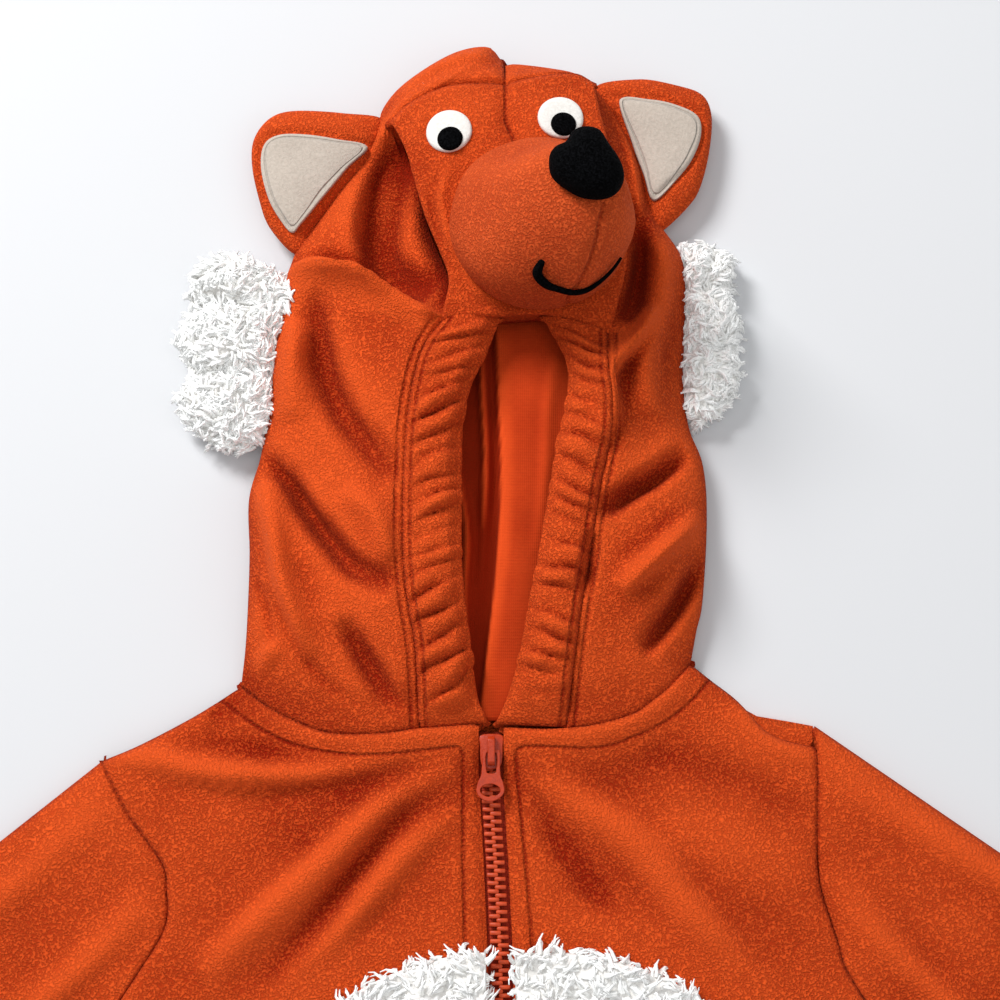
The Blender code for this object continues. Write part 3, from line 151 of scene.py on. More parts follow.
class Line:
    # smooth line through table points, read by its share of length
    def __init__(self, points, closed=False, steps=10):
        points = np.array(points, float)
        if closed:
            ends = np.vstack([points[-1:], points, points[:2]])
        else:
            ends = np.vstack([2 * points[:1] - points[1:2], points, 2 * points[-1:] - points[-2:-1]])
        t = np.arange(steps)[:, None] / steps
        dense = [0.5 * (2 * b + (c - a) * t + (2 * a - 5 * b + 4 * c - d) * t ** 2
                        + (3 * b - a - 3 * c + d) * t ** 3)
                 for a, b, c, d in zip(ends, ends[1:], ends[2:], ends[3:])]
        self.points = np.vstack(dense + [ends[-2:-1]])
        self.spans = np.diff(self.points[:, :2], axis=0)
        self.squares = np.maximum((self.spans ** 2).sum(1), 1e-9)
        self.reach = np.concatenate(([0.0], np.cumsum(np.sqrt(self.squares))))
        self.length = self.reach[-1]

    def at(self, share):
        place = np.asarray(share, float) * self.length
        return np.stack([np.interp(place, self.reach, column) for column in self.points.T], -1)

    def nearest(self, xy):
        # distance, positive on the left of the line, and share of length
        shape = xy.shape[:-1]
        spots = xy[..., :2].reshape(-1, 2)
        distance, share = np.empty(len(spots)), np.empty(len(spots))
        for first in range(0, len(spots), 2500):
            part = spots[first:first + 2500]
            offset = part[:, None] - self.points[None, :-1, :2]
            t = np.clip((offset * self.spans).sum(2) / self.squares, 0.0, 1.0)
            gap = offset - self.spans * t[..., None]
            squared = (gap ** 2).sum(2)
            k = squared.argmin(1)
            row = np.arange(len(part))
            turn = self.spans[k, 0] * offset[row, k, 1] - self.spans[k, 1] * offset[row, k, 0]
            distance[first:first + 2500] = np.sqrt(squared[row, k]) * np.where(turn >= 0, 1, -1)
            share[first:first + 2500] = (self.reach[k] + t[row, k] * np.sqrt(self.squares[k])) / self.length
        return distance.reshape(shape), share.reshape(shape)


def foldLines(table, gain=None):
    gain = cloth["foldGain"] if gain is None else gain
    return [(height * gain, left, right, Line(points)) for height, left, right, points in table]


def foldHeight(folds, xy):
    # soft ridges and troughs along given lines
    total = np.zeros(xy.shape[:-1])
    for height, left, right, line in folds:
        distance, share = line.nearest(xy)
        reach = np.where(distance >= 0, left, right)
        taper = np.sin(np.pi * np.clip(share, 0.0, 1.0)) ** 0.6
        wave = 0.5 * (1.0 + np.cos(np.pi * np.clip(distance / reach, -1.0, 1.0)))
        total += height * taper * wave ** 1.2
    return total


def softNoise(xy, size, seed, waves=10):
    # uneven cloth: a sum of broad waves in all directions, about -1 to 1
    rng = np.random.default_rng(seed)
    total = np.zeros(xy.shape[:-1])
    for _ in range(waves):
        turn, length, phase = rng.uniform(0, math.tau), size * rng.uniform(0.7, 1.6), rng.uniform(0, math.tau)
        along = xy[..., 0] * math.cos(turn) + xy[..., 1] * math.sin(turn)
        total += np.sin(math.tau * along / length + phase)
    return total / math.sqrt(waves * 1.6)


def spread(length, step, fine=(0.5, 1.1, 1.9, 3.0)):
    # shares of a length at even steps, closer together beside both ends
    fine = [place for place in fine if place < length * 0.2]
    inner = np.linspace(fine[-1] + step, length - fine[-1] - step, max(int(length / step), 3))
    places = [0.0, *fine, *inner, *[length - place for place in reversed(fine)], length]
    return np.array(places) / length


lines = {
    "armhole": {side: Line([(x, y) for y, x in rows]) for side, rows in seams["armhole"].items()},
    "side": {side: Line([(x, y) for y, x in rows]) for side, rows in seams["side"].items()},
}
for lineName in ("neck", "shoulder", "hood", "band", "bandEdge", "faceEdge", "crown"):
    lines[lineName] = {side: Line(rows) for side, rows in seams[lineName].items()}


def fromLine(name, side, xy):
    return np.abs(lines[name][side].nearest(xy)[0])


def zipX(y):
    columns = list(zip(*reversed(seams["zip"])))
    return np.interp(y, *columns)


def innerX(side, y):
    # front edge beside the zip, then the inner leg
    y = np.asarray(y, float)
    leg = seams["middle"] + sides[side] * np.interp(seams["crotch"] - y, *zip(*seams["innerLeg"]))
    return np.where(y >= seams["zipEnd"], zipX(y) + sides[side] * seams["zipGap"], leg)


def outerX(side, y):
    y = np.asarray(y, float)

    def along(line):
        return np.interp(-y, -line.points[:, 1], line.points[:, 0])
    return np.where(y > seams["armpit"], along(lines["armhole"][side]), along(lines["side"][side]))


def topY(side, x):
    # neck seam, then shoulder, as a height over x
    sign = sides[side]
    whole = np.vstack([lines["neck"][side].points, lines["shoulder"][side].points[1:]])
    return np.interp(sign * np.asarray(x, float), sign * whole[:, 0], whole[:, 1])


def roundDown(height, distance, reach):
    # a layer's top, brought down to the floor layer at its outer edge
    return cloth["edge"] + (np.maximum(height, cloth["edge"]) - cloth["edge"]) * roll(distance, reach)


def neckHeight(x):
    return np.interp(np.abs(x - zipX(0)), *zip(*seams["neckHeight"]))


def toMetres(points):
    return (np.asarray(points, float) + np.array(units["shift"])) * units["scale"]


def addObject(name, data):
    made = bpy.data.objects.new(name, data)
    bpy.context.scene.collection.objects.link(made)
    return made


def newMesh(name, points, faces, material=None):
    # points in metres
    mesh = bpy.data.meshes.new(name)
    mesh.from_pydata(np.asarray(points).tolist(), [], faces)
    if material:
        mesh.materials.append(material)
    return mesh


def makeMesh(name, points, faces, material):
    mesh = newMesh(name, toMetres(points), faces, material)
    mesh.shade_smooth()
    return addObject(name, mesh)


def placesOf(piece):
    # the points of a mesh, in the tables' millimetres
    places = np.empty(len(piece.data.vertices) * 3)
    piece.data.vertices.foreach_get("co", places)
    return places.reshape(-1, 3) / units["scale"] - np.array(units["shift"])


def editMesh(piece, change):
    bm = bmesh.new()
    bm.from_mesh(piece.data)
    change(bm)
    bm.to_mesh(piece.data)
    bm.free()


def finishedMesh(piece):
    # the mesh with its modifiers, as plain faces
    bpy.context.view_layer.update()
    looked = bpy.context.evaluated_depsgraph_get()
    return bpy.data.meshes.new_from_object(piece.evaluated_get(looked), depsgraph=looked)


def gridFaces(rows, columns, closed=False):
    k = np.arange(rows * columns).reshape(rows, columns)
    if closed:
        k = np.hstack([k, k[:, :1]])
    return np.stack([k[:-1, :-1], k[:-1, 1:], k[1:, 1:], k[1:, :-1]], -1).reshape(-1, 4).tolist()


def addValue(piece, name, values):
    # one number for each point of the mesh, which a material reads by name
    attribute = piece.data.attributes.new(name, "FLOAT", "POINT")
    attribute.data.foreach_set("value", np.asarray(values, np.float32).ravel())


def faceUp(piece, sign=1.0):
    # turns the faces so that most of them look up, or down with a negative sign
    def turn(bm):
        if sum(face.normal.z * face.calc_area() for face in bm.faces) * sign < 0:
            bmesh.ops.reverse_faces(bm, faces=bm.faces)
    editMesh(piece, turn)


def turnOut(piece):
    # faces of a tube or closed form, turned outward
    def turn(bm):
        middle = sum((v.co for v in bm.verts), Vector()) / len(bm.verts)
        if sum(face.normal.dot(face.calc_center_median() - middle) * face.calc_area()
               for face in bm.faces) < 0:
            bmesh.ops.reverse_faces(bm, faces=bm.faces)
    editMesh(piece, turn)


def giveWall(piece, thickness):
    wall = piece.modifiers.new("wall", "SOLIDIFY")
    wall.thickness = thickness * units["scale"]
    wall.offset = -1.0
    return piece


def settle(piece):
    # makes the modifiers part of the mesh, with nothing of it under the floor
    if piece.modifiers:
        mesh = finishedMesh(piece)
        piece.modifiers.clear()
        piece.data = mesh
        mesh.name = piece.name
    for point in piece.data.vertices:
        point.co.z = max(point.co.z, 0.0)
    return piece


def nearest(*distances):
    # the smallest of several distances at each point
    smallest = np.abs(distances[0])
    for distance in distances[1:]:
        smallest = np.minimum(smallest, np.abs(distance))
    return smallest


def skirt(grid, where, profile):
    # carries the edge rows or columns of a grid on round the edge: (inward, drop) for each step
    if where in ("left", "right"):
        turned = grid.transpose(1, 0, 2)
        return skirt(turned, {"left": "first", "right": "last"}[where], profile).transpose(1, 0, 2)
    if where == "first":
        return skirt(grid[::-1], "last", profile)[::-1]
    edge, before = grid[-1], grid[-3]
    inward = (before - edge)[:, :2]
    inward = inward / np.maximum(np.linalg.norm(inward, axis=1, keepdims=True), 1e-6)
    added = []
    for move, fall in profile:
        row = edge.copy()
        row[:, :2] += inward * move
        row[:, 2] -= fall
        added.append(row[None])
    return np.vstack([grid] + added)


def padValues(values, where, count):
    # keeps an attribute grid in step with skirt()
    widths = {"first": ((count, 0), (0, 0)), "last": ((0, count), (0, 0)),
              "left": ((0, 0), (count, 0)), "right": ((0, 0), (0, count))}[where]
    return np.pad(values, widths, mode="edge")


def ride(piece, slot, *nodes, body="garment"):
    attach(piece, body)
    if nodes:
        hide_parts(*nodes)


def sheet(piece, slot, node, table, side=None):
    # attaches a panel to the garment and hides its node; its flat size and area are looked up but not used
    ride(piece, slot, node)
    flat, area = table["flat"], table["area"]
    if side:
        flat, area = flat[side], area[side]


# finishes
class Wire:
    # one output of a node, so that sums over a surface read like sums
    def __init__(self, owner, socket):
        self.owner, self.socket = owner, socket

    def calc(self, operation, *others, clamp=False):
        settings = {"operation": operation, "use_clamp": clamp}
        return self.owner.node("ShaderNodeMath", settings, [self, *others])

    def __add__(self, other):
        return self.calc("ADD", other)

    def __mul__(self, other):
        return self.calc("MULTIPLY", other)

    def __sub__(self, other):
        return self.calc("SUBTRACT", other)

    def __rsub__(self, other):
        return self.owner.node("ShaderNodeMath", {"operation": "SUBTRACT"}, [other, self])

    __radd__ = __add__
    __rmul__ = __mul__


class Nodes:
    # adds a node by its type, its settings, and the values or links of its sockets
    def node(self, kind, settings=None, inputs=(), output=0):
        self.made = self.tree.nodes.new(kind)
        for key, value in (settings or {}).items():
            setattr(self.made, key, value)
        for key, value in inputs.items() if isinstance(inputs, dict) else enumerate(inputs):
            if isinstance(value, Wire):
                self.tree.links.new(value.socket, self.made.inputs[key])
            else:
                self.made.inputs[key].default_value = value
        return Wire(self, self.made.outputs[output])

    def vector(self, operation, *values):
        return self.node("ShaderNodeVectorMath", {"operation": operation}, values)


class Finish(Nodes):
    # a material with one Principled shader
    def __init__(self, name, roughness=0.9, **fixed):
        self.material = bpy.data.materials.new(name)
        self.material.use_nodes = True
        self.tree = self.material.node_tree
        self.shader = self.tree.nodes["Principled BSDF"]
        self.shader.inputs["Roughness"].default_value = roughness
        for key, value in fixed.items():
            self.shader.inputs[key.replace("_", " ")].default_value = value
        self.place = self.node("ShaderNodeTexCoord", output=3)

    def noise(self, scale, detail=2.0, place=None, output=0, roughness=0.5):
        return self.node("ShaderNodeTexNoise", None,
                         {"Vector": place or self.place, "Scale": scale, "Detail": detail,
                          "Roughness": roughness}, output)

    def value(self, name):
        return self.node("ShaderNodeAttribute", {"attribute_name": name}, output=2)

    def blend(self, low, high, share):
        return self.node("ShaderNodeMix", {"data_type": "RGBA"}, {0: share, 6: low, 7: high}, output=2)

    def shade(self, share, name=None):
        # from the finish's dark colour to its light one
        light, dark = colours[name or self.material.name]
        return self.blend(dark, light, share)

    def between(self, value, low, high, start=0.0, end=1.0):
        # smooth ramp from start to end as the value goes from low to high
        return self.node("ShaderNodeMapRange", {"interpolation_type": "SMOOTHSTEP"},
                         {"Value": value, "From Min": low, "From Max": high, "To Min": start, "To Max": end})

    def nudge(self, amount, scale):
        # coordinates pushed about by noise, so that cells turn to curls
        push = self.vector("SUBTRACT", self.noise(scale, 1.0, output=1), (0.5, 0.5, 0.5))
        push = self.node("ShaderNodeVectorMath", {"operation": "SCALE"}, {0: push, "Scale": amount})
        return self.vector("ADD", self.place, push)

    def vary(self, name, wire):
        self.tree.links.new(wire.socket, self.shader.inputs[name])

    def waves(self, axis, length, bend=None):
        # fine waves from 0 to 1 along an axis, a length in metres apart, that another value bends
        place = self.node("ShaderNodeSeparateXYZ", None, [self.place], axis) * (math.tau / length)
        return (place if bend is None else place + bend).calc("SINE") * 0.5 + 0.5

    def finish(self, colour, millimetres):
        self.vary("Base Color", colour)
        bump = {"Strength": 1.0, "Distance": units["scale"], "Height": millimetres}
        self.vary("Normal", self.node("ShaderNodeBump", None, bump))
        return self.material


# light and dark colour of each finish; materials blend between them, and where folds, grooves and pits drive
# the blend the dark end is painted shade
colours = {
    "fleecePile": ((0.745, 0.091, 0.0150, 1), (0.260, 0.011, 0.0014, 1)),
    "muzzleFleece": ((0.690, 0.098, 0.022, 1), (0.30, 0.020, 0.0035, 1)),
    "jerseyKnit": ((0.68, 0.070, 0.011, 1), (0.33, 0.020, 0.0028, 1)),
    "earFelt": ((0.57, 0.495, 0.425, 1), (0.40, 0.345, 0.29, 1)),
    "eyeFelt": ((0.86, 0.85, 0.81, 1), (0.66, 0.64, 0.60, 1)),
    "furRoot": ((0.88, 0.90, 0.90, 1), (0.84, 0.80, 0.73, 1)),
    "furTip": ((0.965, 0.975, 0.97, 1),),
    "sherpaGround": ((0.94, 0.94, 0.93, 1), (0.78, 0.76, 0.73, 1)),
    "blackPlush": ((0.0055, 0.0058, 0.0068, 1), (0.0002, 0.0002, 0.0003, 1)),
    "zipTapeWeave": ((0.47, 0.036, 0.0075, 1), (0.20, 0.0095, 0.0025, 1)),
    "zipTeeth": ((0.62, 0.075, 0.018, 1), (0.46, 0.045, 0.010, 1)),
    "zipSlider": ((0.50, 0.046, 0.009, 1), (0.38, 0.030, 0.006, 1)),
    "sheen": (1.0, 0.42, 0.2, 1.0),
    "glow": (1.0, 1.0, 1.0, 1.0),
}
fleeceLook = {
    "nub": 1260.0,         # pile nubs per metre
    "nubDepth": 0.52,      # millimetres
    "curl": 0.0012,        # how far noise pushes the nubs, metres
    "groove": 1.1,         # half width of a topstitched groove, millimetres
    "grooveDepth": 1.0,
}


def fleece(name):
    made = Finish(name, 0.92, Sheen_Weight=0.05, Sheen_Roughness=0.5, Specular_IOR_Level=0.06,
                  Sheen_Tint=colours["sheen"])
    curled = made.nudge(fleeceLook["curl"], fleeceLook["nub"] * 0.9)
    waves = made.noise(fleeceLook["nub"], 1.0, curled)
    small = made.noise(fleeceLook["nub"] * 2.4, 1.0)
    nubs = made.between(waves, 0.36, 0.64) * 0.85 + small * 0.3
    patches = made.noise(22.0, 3.0) * 0.8 + made.noise(300.0, 2.0) * 0.2
    groove = made.between(made.value("stitch").calc("ABSOLUTE"), 0.0, fleeceLook["groove"], 1.0, 0.0)
    groove = groove + made.between(made.value("seam"), 0.0, fleeceLook["groove"], 0.6, 0.0)
    # painted shade: pits between the pile nubs, topstitched grooves, seams and fold hollows are painted
    # darker, and fold crests lighter
    tone = made.between(nubs * 0.36 + patches * 0.5, -0.04, 0.88)
    tone = tone + made.value("relief") * 0.5 - groove * 0.45
    height = nubs * fleeceLook["nubDepth"] - groove * fleeceLook["grooveDepth"] + patches * 0.3
    return made.finish(made.shade(tone.calc("ADD", 0.12, clamp=True)), height)


def jersey():
    made = Finish("jerseyKnit", 0.85, Sheen_Weight=0.04, Sheen_Roughness=0.5, Specular_IOR_Level=0.08,
                  Sheen_Tint=colours["sheen"])
    rib = made.waves(0, 0.0007)
    loops = made.waves(1, 0.0011, rib * 2.0)
    flecks = made.vector("MULTIPLY", made.place, (420.0, 1300.0, 900.0))
    patches = made.noise(60.0, 3.0) * 0.55 + made.noise(1.0, 2.0, flecks) * 0.45
    # painted shade: fold hollows darker and crests lighter, through the relief values
    tone = rib * 0.14 + patches * 0.6 + loops * 0.10 + made.value("relief") * 0.7
    return made.finish(made.shade(tone), rib * 0.05 + loops * 0.04 + patches * 0.25)


def felt(name):
    made = Finish(name, 0.95, Sheen_Weight=0.2, Sheen_Roughness=0.6, Specular_IOR_Level=0.15)
    fibres = made.noise(900.0, 4.0, made.nudge(0.002, 300.0), roughness=0.7)
    groove = made.between(made.value("stitch").calc("ABSOLUTE"), 0.0, 0.7, 1.0, 0.0)
    # painted shade: the stitched groove is painted darker
    tone = made.between(fibres, 0.3, 0.72) * 0.55 + made.noise(70.0, 3.0) * 0.5 - groove * 0.35
    return made.finish(made.shade(tone), fibres * 0.35 - groove * 0.5)


def sherpaFur():
    # painted light: a faint white emission lifts the fur's shadows, though fur gives no light
    made = Finish("sherpaFur", 0.8, Sheen_Weight=0.4, Sheen_Roughness=0.4, Specular_IOR_Level=0.2,
                  Emission_Color=colours["glow"], Emission_Strength=0.09)
    strands = made.noise(1400.0, 3.0, roughness=0.6)
    # painted shade: strands are darker and warmer toward their roots
    tone = made.between(made.value("tip"), 0.0, 0.55) * 0.62 + made.value("lock") * 0.25 + strands * 0.25
    warm = made.shade(made.noise(24.0, 2.0), "furRoot")
    return made.finish(made.blend(warm, *colours["furTip"], tone), strands * 0.2)


def sherpaGround():
    # painted light: a faint white emission brightens the sherpa ground, though it gives no light
    made = Finish("sherpaGround", 0.95, Specular_IOR_Level=0.1, Emission_Color=colours["glow"],
                  Emission_Strength=0.05)
    curls = made.node("ShaderNodeTexVoronoi", {"feature": "F1"},
                      {"Vector": made.nudge(0.004, 180.0), "Scale": 330.0})
    tone = made.between(curls, 0.05, 0.7, 1.0, 0.0)
    return made.finish(made.shade(tone), tone)


def blackPlush():
    made = Finish("blackPlush", 0.95, Specular_IOR_Level=0.03)
    fuzz = made.noise(1500.0, 3.0, made.nudge(0.0015, 500.0), roughness=0.65)
    clumps = made.noise(420.0, 2.0)
    return made.finish(made.shade(made.between(fuzz, 0.35, 0.75)), fuzz * 0.7 + clumps * 0.5)


def zipTape():
    made = Finish("zipTapeWeave", 0.8, Specular_IOR_Level=0.3)
    warp = made.waves(0, 0.0007)
    weft = made.waves(1, 0.0009, warp * 2.6)
    tone = warp * 0.4 + weft * 0.4 + made.noise(300.0, 2.0) * 0.3
    return made.finish(made.shade(tone), warp * 0.12 + weft * 0.12)


def zipPlastic(name, roughness):
    made = Finish(name, roughness, Specular_IOR_Level=0.3)
    grain = made.noise(2600.0, 2.0)
    scuffs = made.noise(500.0, 4.0, roughness=0.7)
    made.vary("Roughness", made.between(scuffs, 0.35, 0.7, roughness - 0.08, roughness + 0.14))
    return made.finish(made.shade(made.between(scuffs, 0.3, 0.7)), grain * 0.05)


finishes = {
    "fleece": fleece("fleecePile"),
    "muzzle": fleece("muzzleFleece"),
    "jersey": jersey(),
    "earFelt": felt("earFelt"),
    "eyeFelt": felt("eyeFelt"),
    "fur": sherpaFur(),
    "furGround": sherpaGround(),
    "black": blackPlush(),
    "tape": zipTape(),
    "teeth": zipPlastic("zipTeeth", 0.45),
    "slider": zipPlastic("zipSlider", 0.32),
}
print("finishes made:", len(finishes))


# fronts, cut from the zip to the armhole and down to the ankle
front = {
    "height": 8.6,
    "roll": 12.0,
    "neckFade": 13.0,
    "beside": 9.4,                  # height of the fleece beside the zip
    "topFade": 110.0,
    "step": 2.3, "stepBelow": 6.0, "fineTo": -110.0,  # spacing of the mesh, fine where it is seen close
    "unevenness": 0.35,
    # (inward, drop) of each step round the edges, and at the side seam
    "edge": ((0.0, 1.2), (0.15, 2.4), (0.5, 3.4)), "rolled": ((0.0, 1.0), (0.2, 2.0), (0.9, 3.0)),
    "zipDip": (1.6, 1.8), "stitchDip": (0.8, 1.6), "hemWidth": 16.0,
    "flat": (0.166, 0.718), "area": 0.0955,
    "folds": {
        "right": (
            (5.2, 10, 6, ((-139, -6), (-122, -8), (-108, -12), (-92, -14), (-69, -13), (-50, -10),
                          (-26, -4))),
            (-2.6, 9, 8, ((-116, -3), (-100, -3), (-70, -7), (-44, -5))),
            (5.0, 13, 10, ((-14, -12), (-27.5, -17), (-41.5, -25), (-58.5, -41), (-79, -59.5), (-103, -82))),
            (-3.4, 9, 8, ((-13, -17), (-31, -26), (-46, -42), (-60, -61), (-82, -88))),
            (4.2, 9, 15, ((-12, -24), (-27, -35), (-41, -50), (-56, -70), (-72, -98))),
            (3.0, 14, 16, ((-110, -130), (-90, -180), (-84, -240), (-104, -300))),
            (2.6, 12, 14, ((-126, -330), (-96, -380), (-84, -450), (-92, -540), (-88, -640))),
            (2.2, 10, 12, ((-52, -430), (-60, -500), (-58, -580))),
            (-1.6, 10, 10, ((-112, -400), (-116, -480), (-108, -560))),
        ),
        "left": (
            (4.6, 12, 12, ((8, -10), (28, -23), (48, -38), (70, -66), (92, -100))),
            (-2.4, 9, 9, ((3, -18), (20, -36), (34, -56), (50, -82))),
            (-1.2, 12, 9, ((44, -6), (70, -10), (91, -17), (106, -30))),
            (1.6, 20, 20, ((44, -22), (70, -34), (92, -44), (112, -52))),
            (3.2, 10, 8, ((84, 14), (90, 4), (100, -3), (112, -7))),
            (3.0, 14, 16, ((118, -126), (96, -176), (90, -236), (108, -296))),
            (2.6, 12, 14, ((130, -326), (100, -372), (90, -446), (96, -536), (92, -646))),
            (2.2, 10, 12, ((56, -430), (64, -505), (60, -585))),
            (-1.6, 10, 10, ((116, -404), (120, -484), (110, -556))),
        ),
    },
    # topstitching, from the shoulder along the neck and down beside the zip
    "stitch": {
        "right": ((-99, 13.6), (-95.2, 11.0), (-85.6, 4.0), (-75.6, -1.2), (-65.6, -4.4), (-52.2, -6.4),
                  (-38.9, -6.4), (-27.8, -5.2), (-19.1, -4.2), (-14.6, -4.0), (-12.9, -6.0), (-12.8, -12),
                  (-12.7, -40), (-12.0, -70), (-11.2, -110), (-11.0, -200), (-11.0, -300), (-11.0, -386)),
        "left": ((78, 23.2), (74.2, 20.4), (66.3, 11.6), (55.7, 4.0), (41.7, -2.2), (31.3, -4.3),
                 (20.8, -4.0), (10.4, -3.6), (7.0, -4.2), (5.6, -6.4), (6.0, -12), (8.6, -40), (11.0, -70),
                 (12.6, -110), (13.0, -200), (13.0, -300), (13.0, -386)),
    },
}
belly = {
    "middle": (8.0, -190.0), "half": (104.0, 117.0), "power": 2.3, "margin": (16.0, 8.0),
    "rise": 3.2,
    "flat": (0.110, 0.240), "area": 0.0208,
}


def bellyShare(xy, margin=(0.0, 0.0)):
    across = np.abs(xy[..., 0] - belly["middle"][0]) / (belly["half"][0] + margin[0])
    along = np.abs(xy[..., 1] - belly["middle"][1]) / (belly["half"][1] + margin[1])
    return (across ** belly["power"] + along ** belly["power"]) ** (1 / belly["power"])


frontFolds = {side: foldLines(rows) for side, rows in front["folds"].items()}
stitchLines = {side: Line(rows) for side, rows in front["stitch"].items()}


def frontHeight(side, xy, detail=True):
    x, y = xy[..., 0], xy[..., 1]
    height = front["height"] + foldHeight(frontFolds[side], xy)
    if detail:
        uneven = front["unevenness"]
        height = height + uneven * softNoise(xy, 42.0, 3) + 0.5 * uneven * softNoise(xy, 17.0, 4)
    level = 1.0 - smoothStep((bellyShare(xy, belly["margin"]) - 1.0) / 0.12)
    height = height + (front["beside"] - height) * level
    below = np.maximum(topY(side, x) - y, 0.0)
    near = np.abs(x) < abs(seams["neck"][side][-1][0]) + 10
    atNeck = (neckHeight(x) - height) * np.exp(-(below / front["neckFade"]) ** 2)
    height = height + np.where(near, atNeck, 0.0)
    distance = nearest(fromLine("side", side, xy), fromLine("shoulder", side, xy))
    fromLeg = np.abs(x - innerX(side, y)) * 0.97
    distance = np.where(y < seams["crotch"], np.minimum(distance, fromLeg), distance)
    height = roundDown(height, distance, front["roll"])
    beside = 1.0 - smoothStep((np.abs(x - zipX(y)) - 11.0) / 12.0)
    raised = np.maximum(height, front["beside"] * beside + height * (1.0 - beside))
    return np.where(y > seams["zipEnd"] - 4, raised, height)


def dip(distance, depth=None, reach=None):
    depth, reach = depth or cloth["seamDip"], reach or cloth["seamReach"]
    return depth * np.exp(-(np.abs(distance) / reach) ** 2)


def reliefOf(height, rows=9, columns=9):
    # how far each point stands over its neighbourhood, in millimetres; materials use it as painted shade,
    # lighter on crests and darker in hollows
    padded = np.pad(height, ((rows, rows), (columns, columns)), mode="edge")
    total = np.zeros((padded.shape[0] + 1, padded.shape[1] + 1))
    total[1:, 1:] = padded.cumsum(0).cumsum(1)
    high, wide = 2 * rows + 1, 2 * columns + 1
    mean = total[high:, wide:] - total[:-high, wide:] - total[high:, :-wide] + total[:-high, :-wide]
    mean = mean / (high * wide)
    return np.clip((height - mean) / 3.0, -1.0, 1.0)


def clothPiece(name, grid, finish, thickness, stitch=None, relief=None, borders=(), sign=1.0, closed=False,
               lowest=0.0, seam=None):
    # a grid of points as one panel: its borders are carried on down, and it gets its wall
    rows, columns = grid.shape[:2]
    stitch = np.full((rows, columns), noSeam) if stitch is None else stitch
    seam = np.full((rows, columns), noSeam) if seam is None else seam
    relief = reliefOf(grid[..., 2]) if relief is None else relief
    for where, profile in borders:
        grid = skirt(grid, where, profile)
        stitch, relief, seam = [padValues(values, where, len(profile)) for values in (stitch, relief, seam)]
    grid[..., 2] = np.maximum(grid[..., 2], lowest)
    piece = makeMesh(name, grid.reshape(-1, 3), gridFaces(*grid.shape[:2], closed), finishes[finish])
    addValue(piece, "stitch", stitch)
    # these relief values are painted shade, which the fleece and jersey materials read
    addValue(piece, "relief", relief)
    addValue(piece, "seam", seam)
    faceUp(piece, sign)
    return giveWall(piece, thickness) if thickness else piece


def buildFront(side):
    sign = sides[side]
    start, end = float(innerX(side, 0.0)), seams["shoulder"][side][-1][0]
    first = seams["armhole"][side][0][0]
    shares = spread(abs(end - start), front["step"])
    above = first + (front["fineTo"] - first) * spread(abs(front["fineTo"] - first), front["step"])
    below = np.arange(front["fineTo"] - 4, seams["hem"], -front["stepBelow"])
    y = np.concatenate([above, below, [seams["hem"]]])
    atArmhole = y[:, None] > seams["armpit"] + 2
    column = start + (end - start) * shares
    low, high = innerX(side, y)[:, None], outerX(side, y)[:, None] - sign * cloth["seam"]
    x = low + (high - low) * shares
    fade = np.maximum(1.0 - (first - y) / front["topFade"], 0.0)[:, None] ** 2
    raised = y[:, None] + (topY(side, column) - cloth["seam"] - first)[None] * fade
    xy = np.stack([x, raised], -1)
    height = frontHeight(side, xy)
    relief = reliefOf(height)
    below = topY(side, x) - raised
    height -= dip(below) + dip(x - low, *front["zipDip"]) + np.where(atArmhole, dip(x - high), 0.0)
    stitch = stitchLines[side].nearest(xy)[0]
    height -= dip(stitch, *front["stitchDip"])
    hem = y[:, None] - seams["hem"] - front["hemWidth"] + 0 * x
    stitch = np.where(np.abs(hem) < np.abs(stitch), hem, stitch)
    seam = nearest(below, np.where(atArmhole, x - high, noSeam))
    edge = front["edge"]
    piece = clothPiece(f"front.{side}", np.dstack([xy, height]), "fleece", cloth["wall"], stitch, relief,
                       (("left", edge), ("right", front["rolled"]), ("first", edge), ("last", edge)),
                       lowest=2.5, seam=seam)
    sheet(piece, "fleece", f"front_{side}", front)


# back, in two halves that meet in the middle, flat on the floor
back = {
    "neckY": 12.0,
    "shoulder": {
        "right": ((-98, 10.5), (-108, 4.2), (-126.5, -5.6), (-137.6, -10.6)),
        "left": ((76, 17.5), (83, 12.4), (90, 8.2), (97, 7), (104, 5.8), (110.2, 4.6)),
    },
    "step": 6.0, "curl": 7.0, "lift": 2.1, "topFade": 70.0,
    "flat": (0.165, 0.706), "area": 0.0945,
}


def backTop(side, x):
    sign, neck = sides[side], seams["neck"][side][-1][0]
    points = [(seams["middle"], back["neckY"]), (neck * 0.6, back["neckY"] + 0.5),
              (neck - sign * 3.5, back["neckY"] + 1.0), *back["shoulder"][side]]
    points = np.array(points)
    return np.interp(sign * x, sign * points[:, 0], points[:, 1])


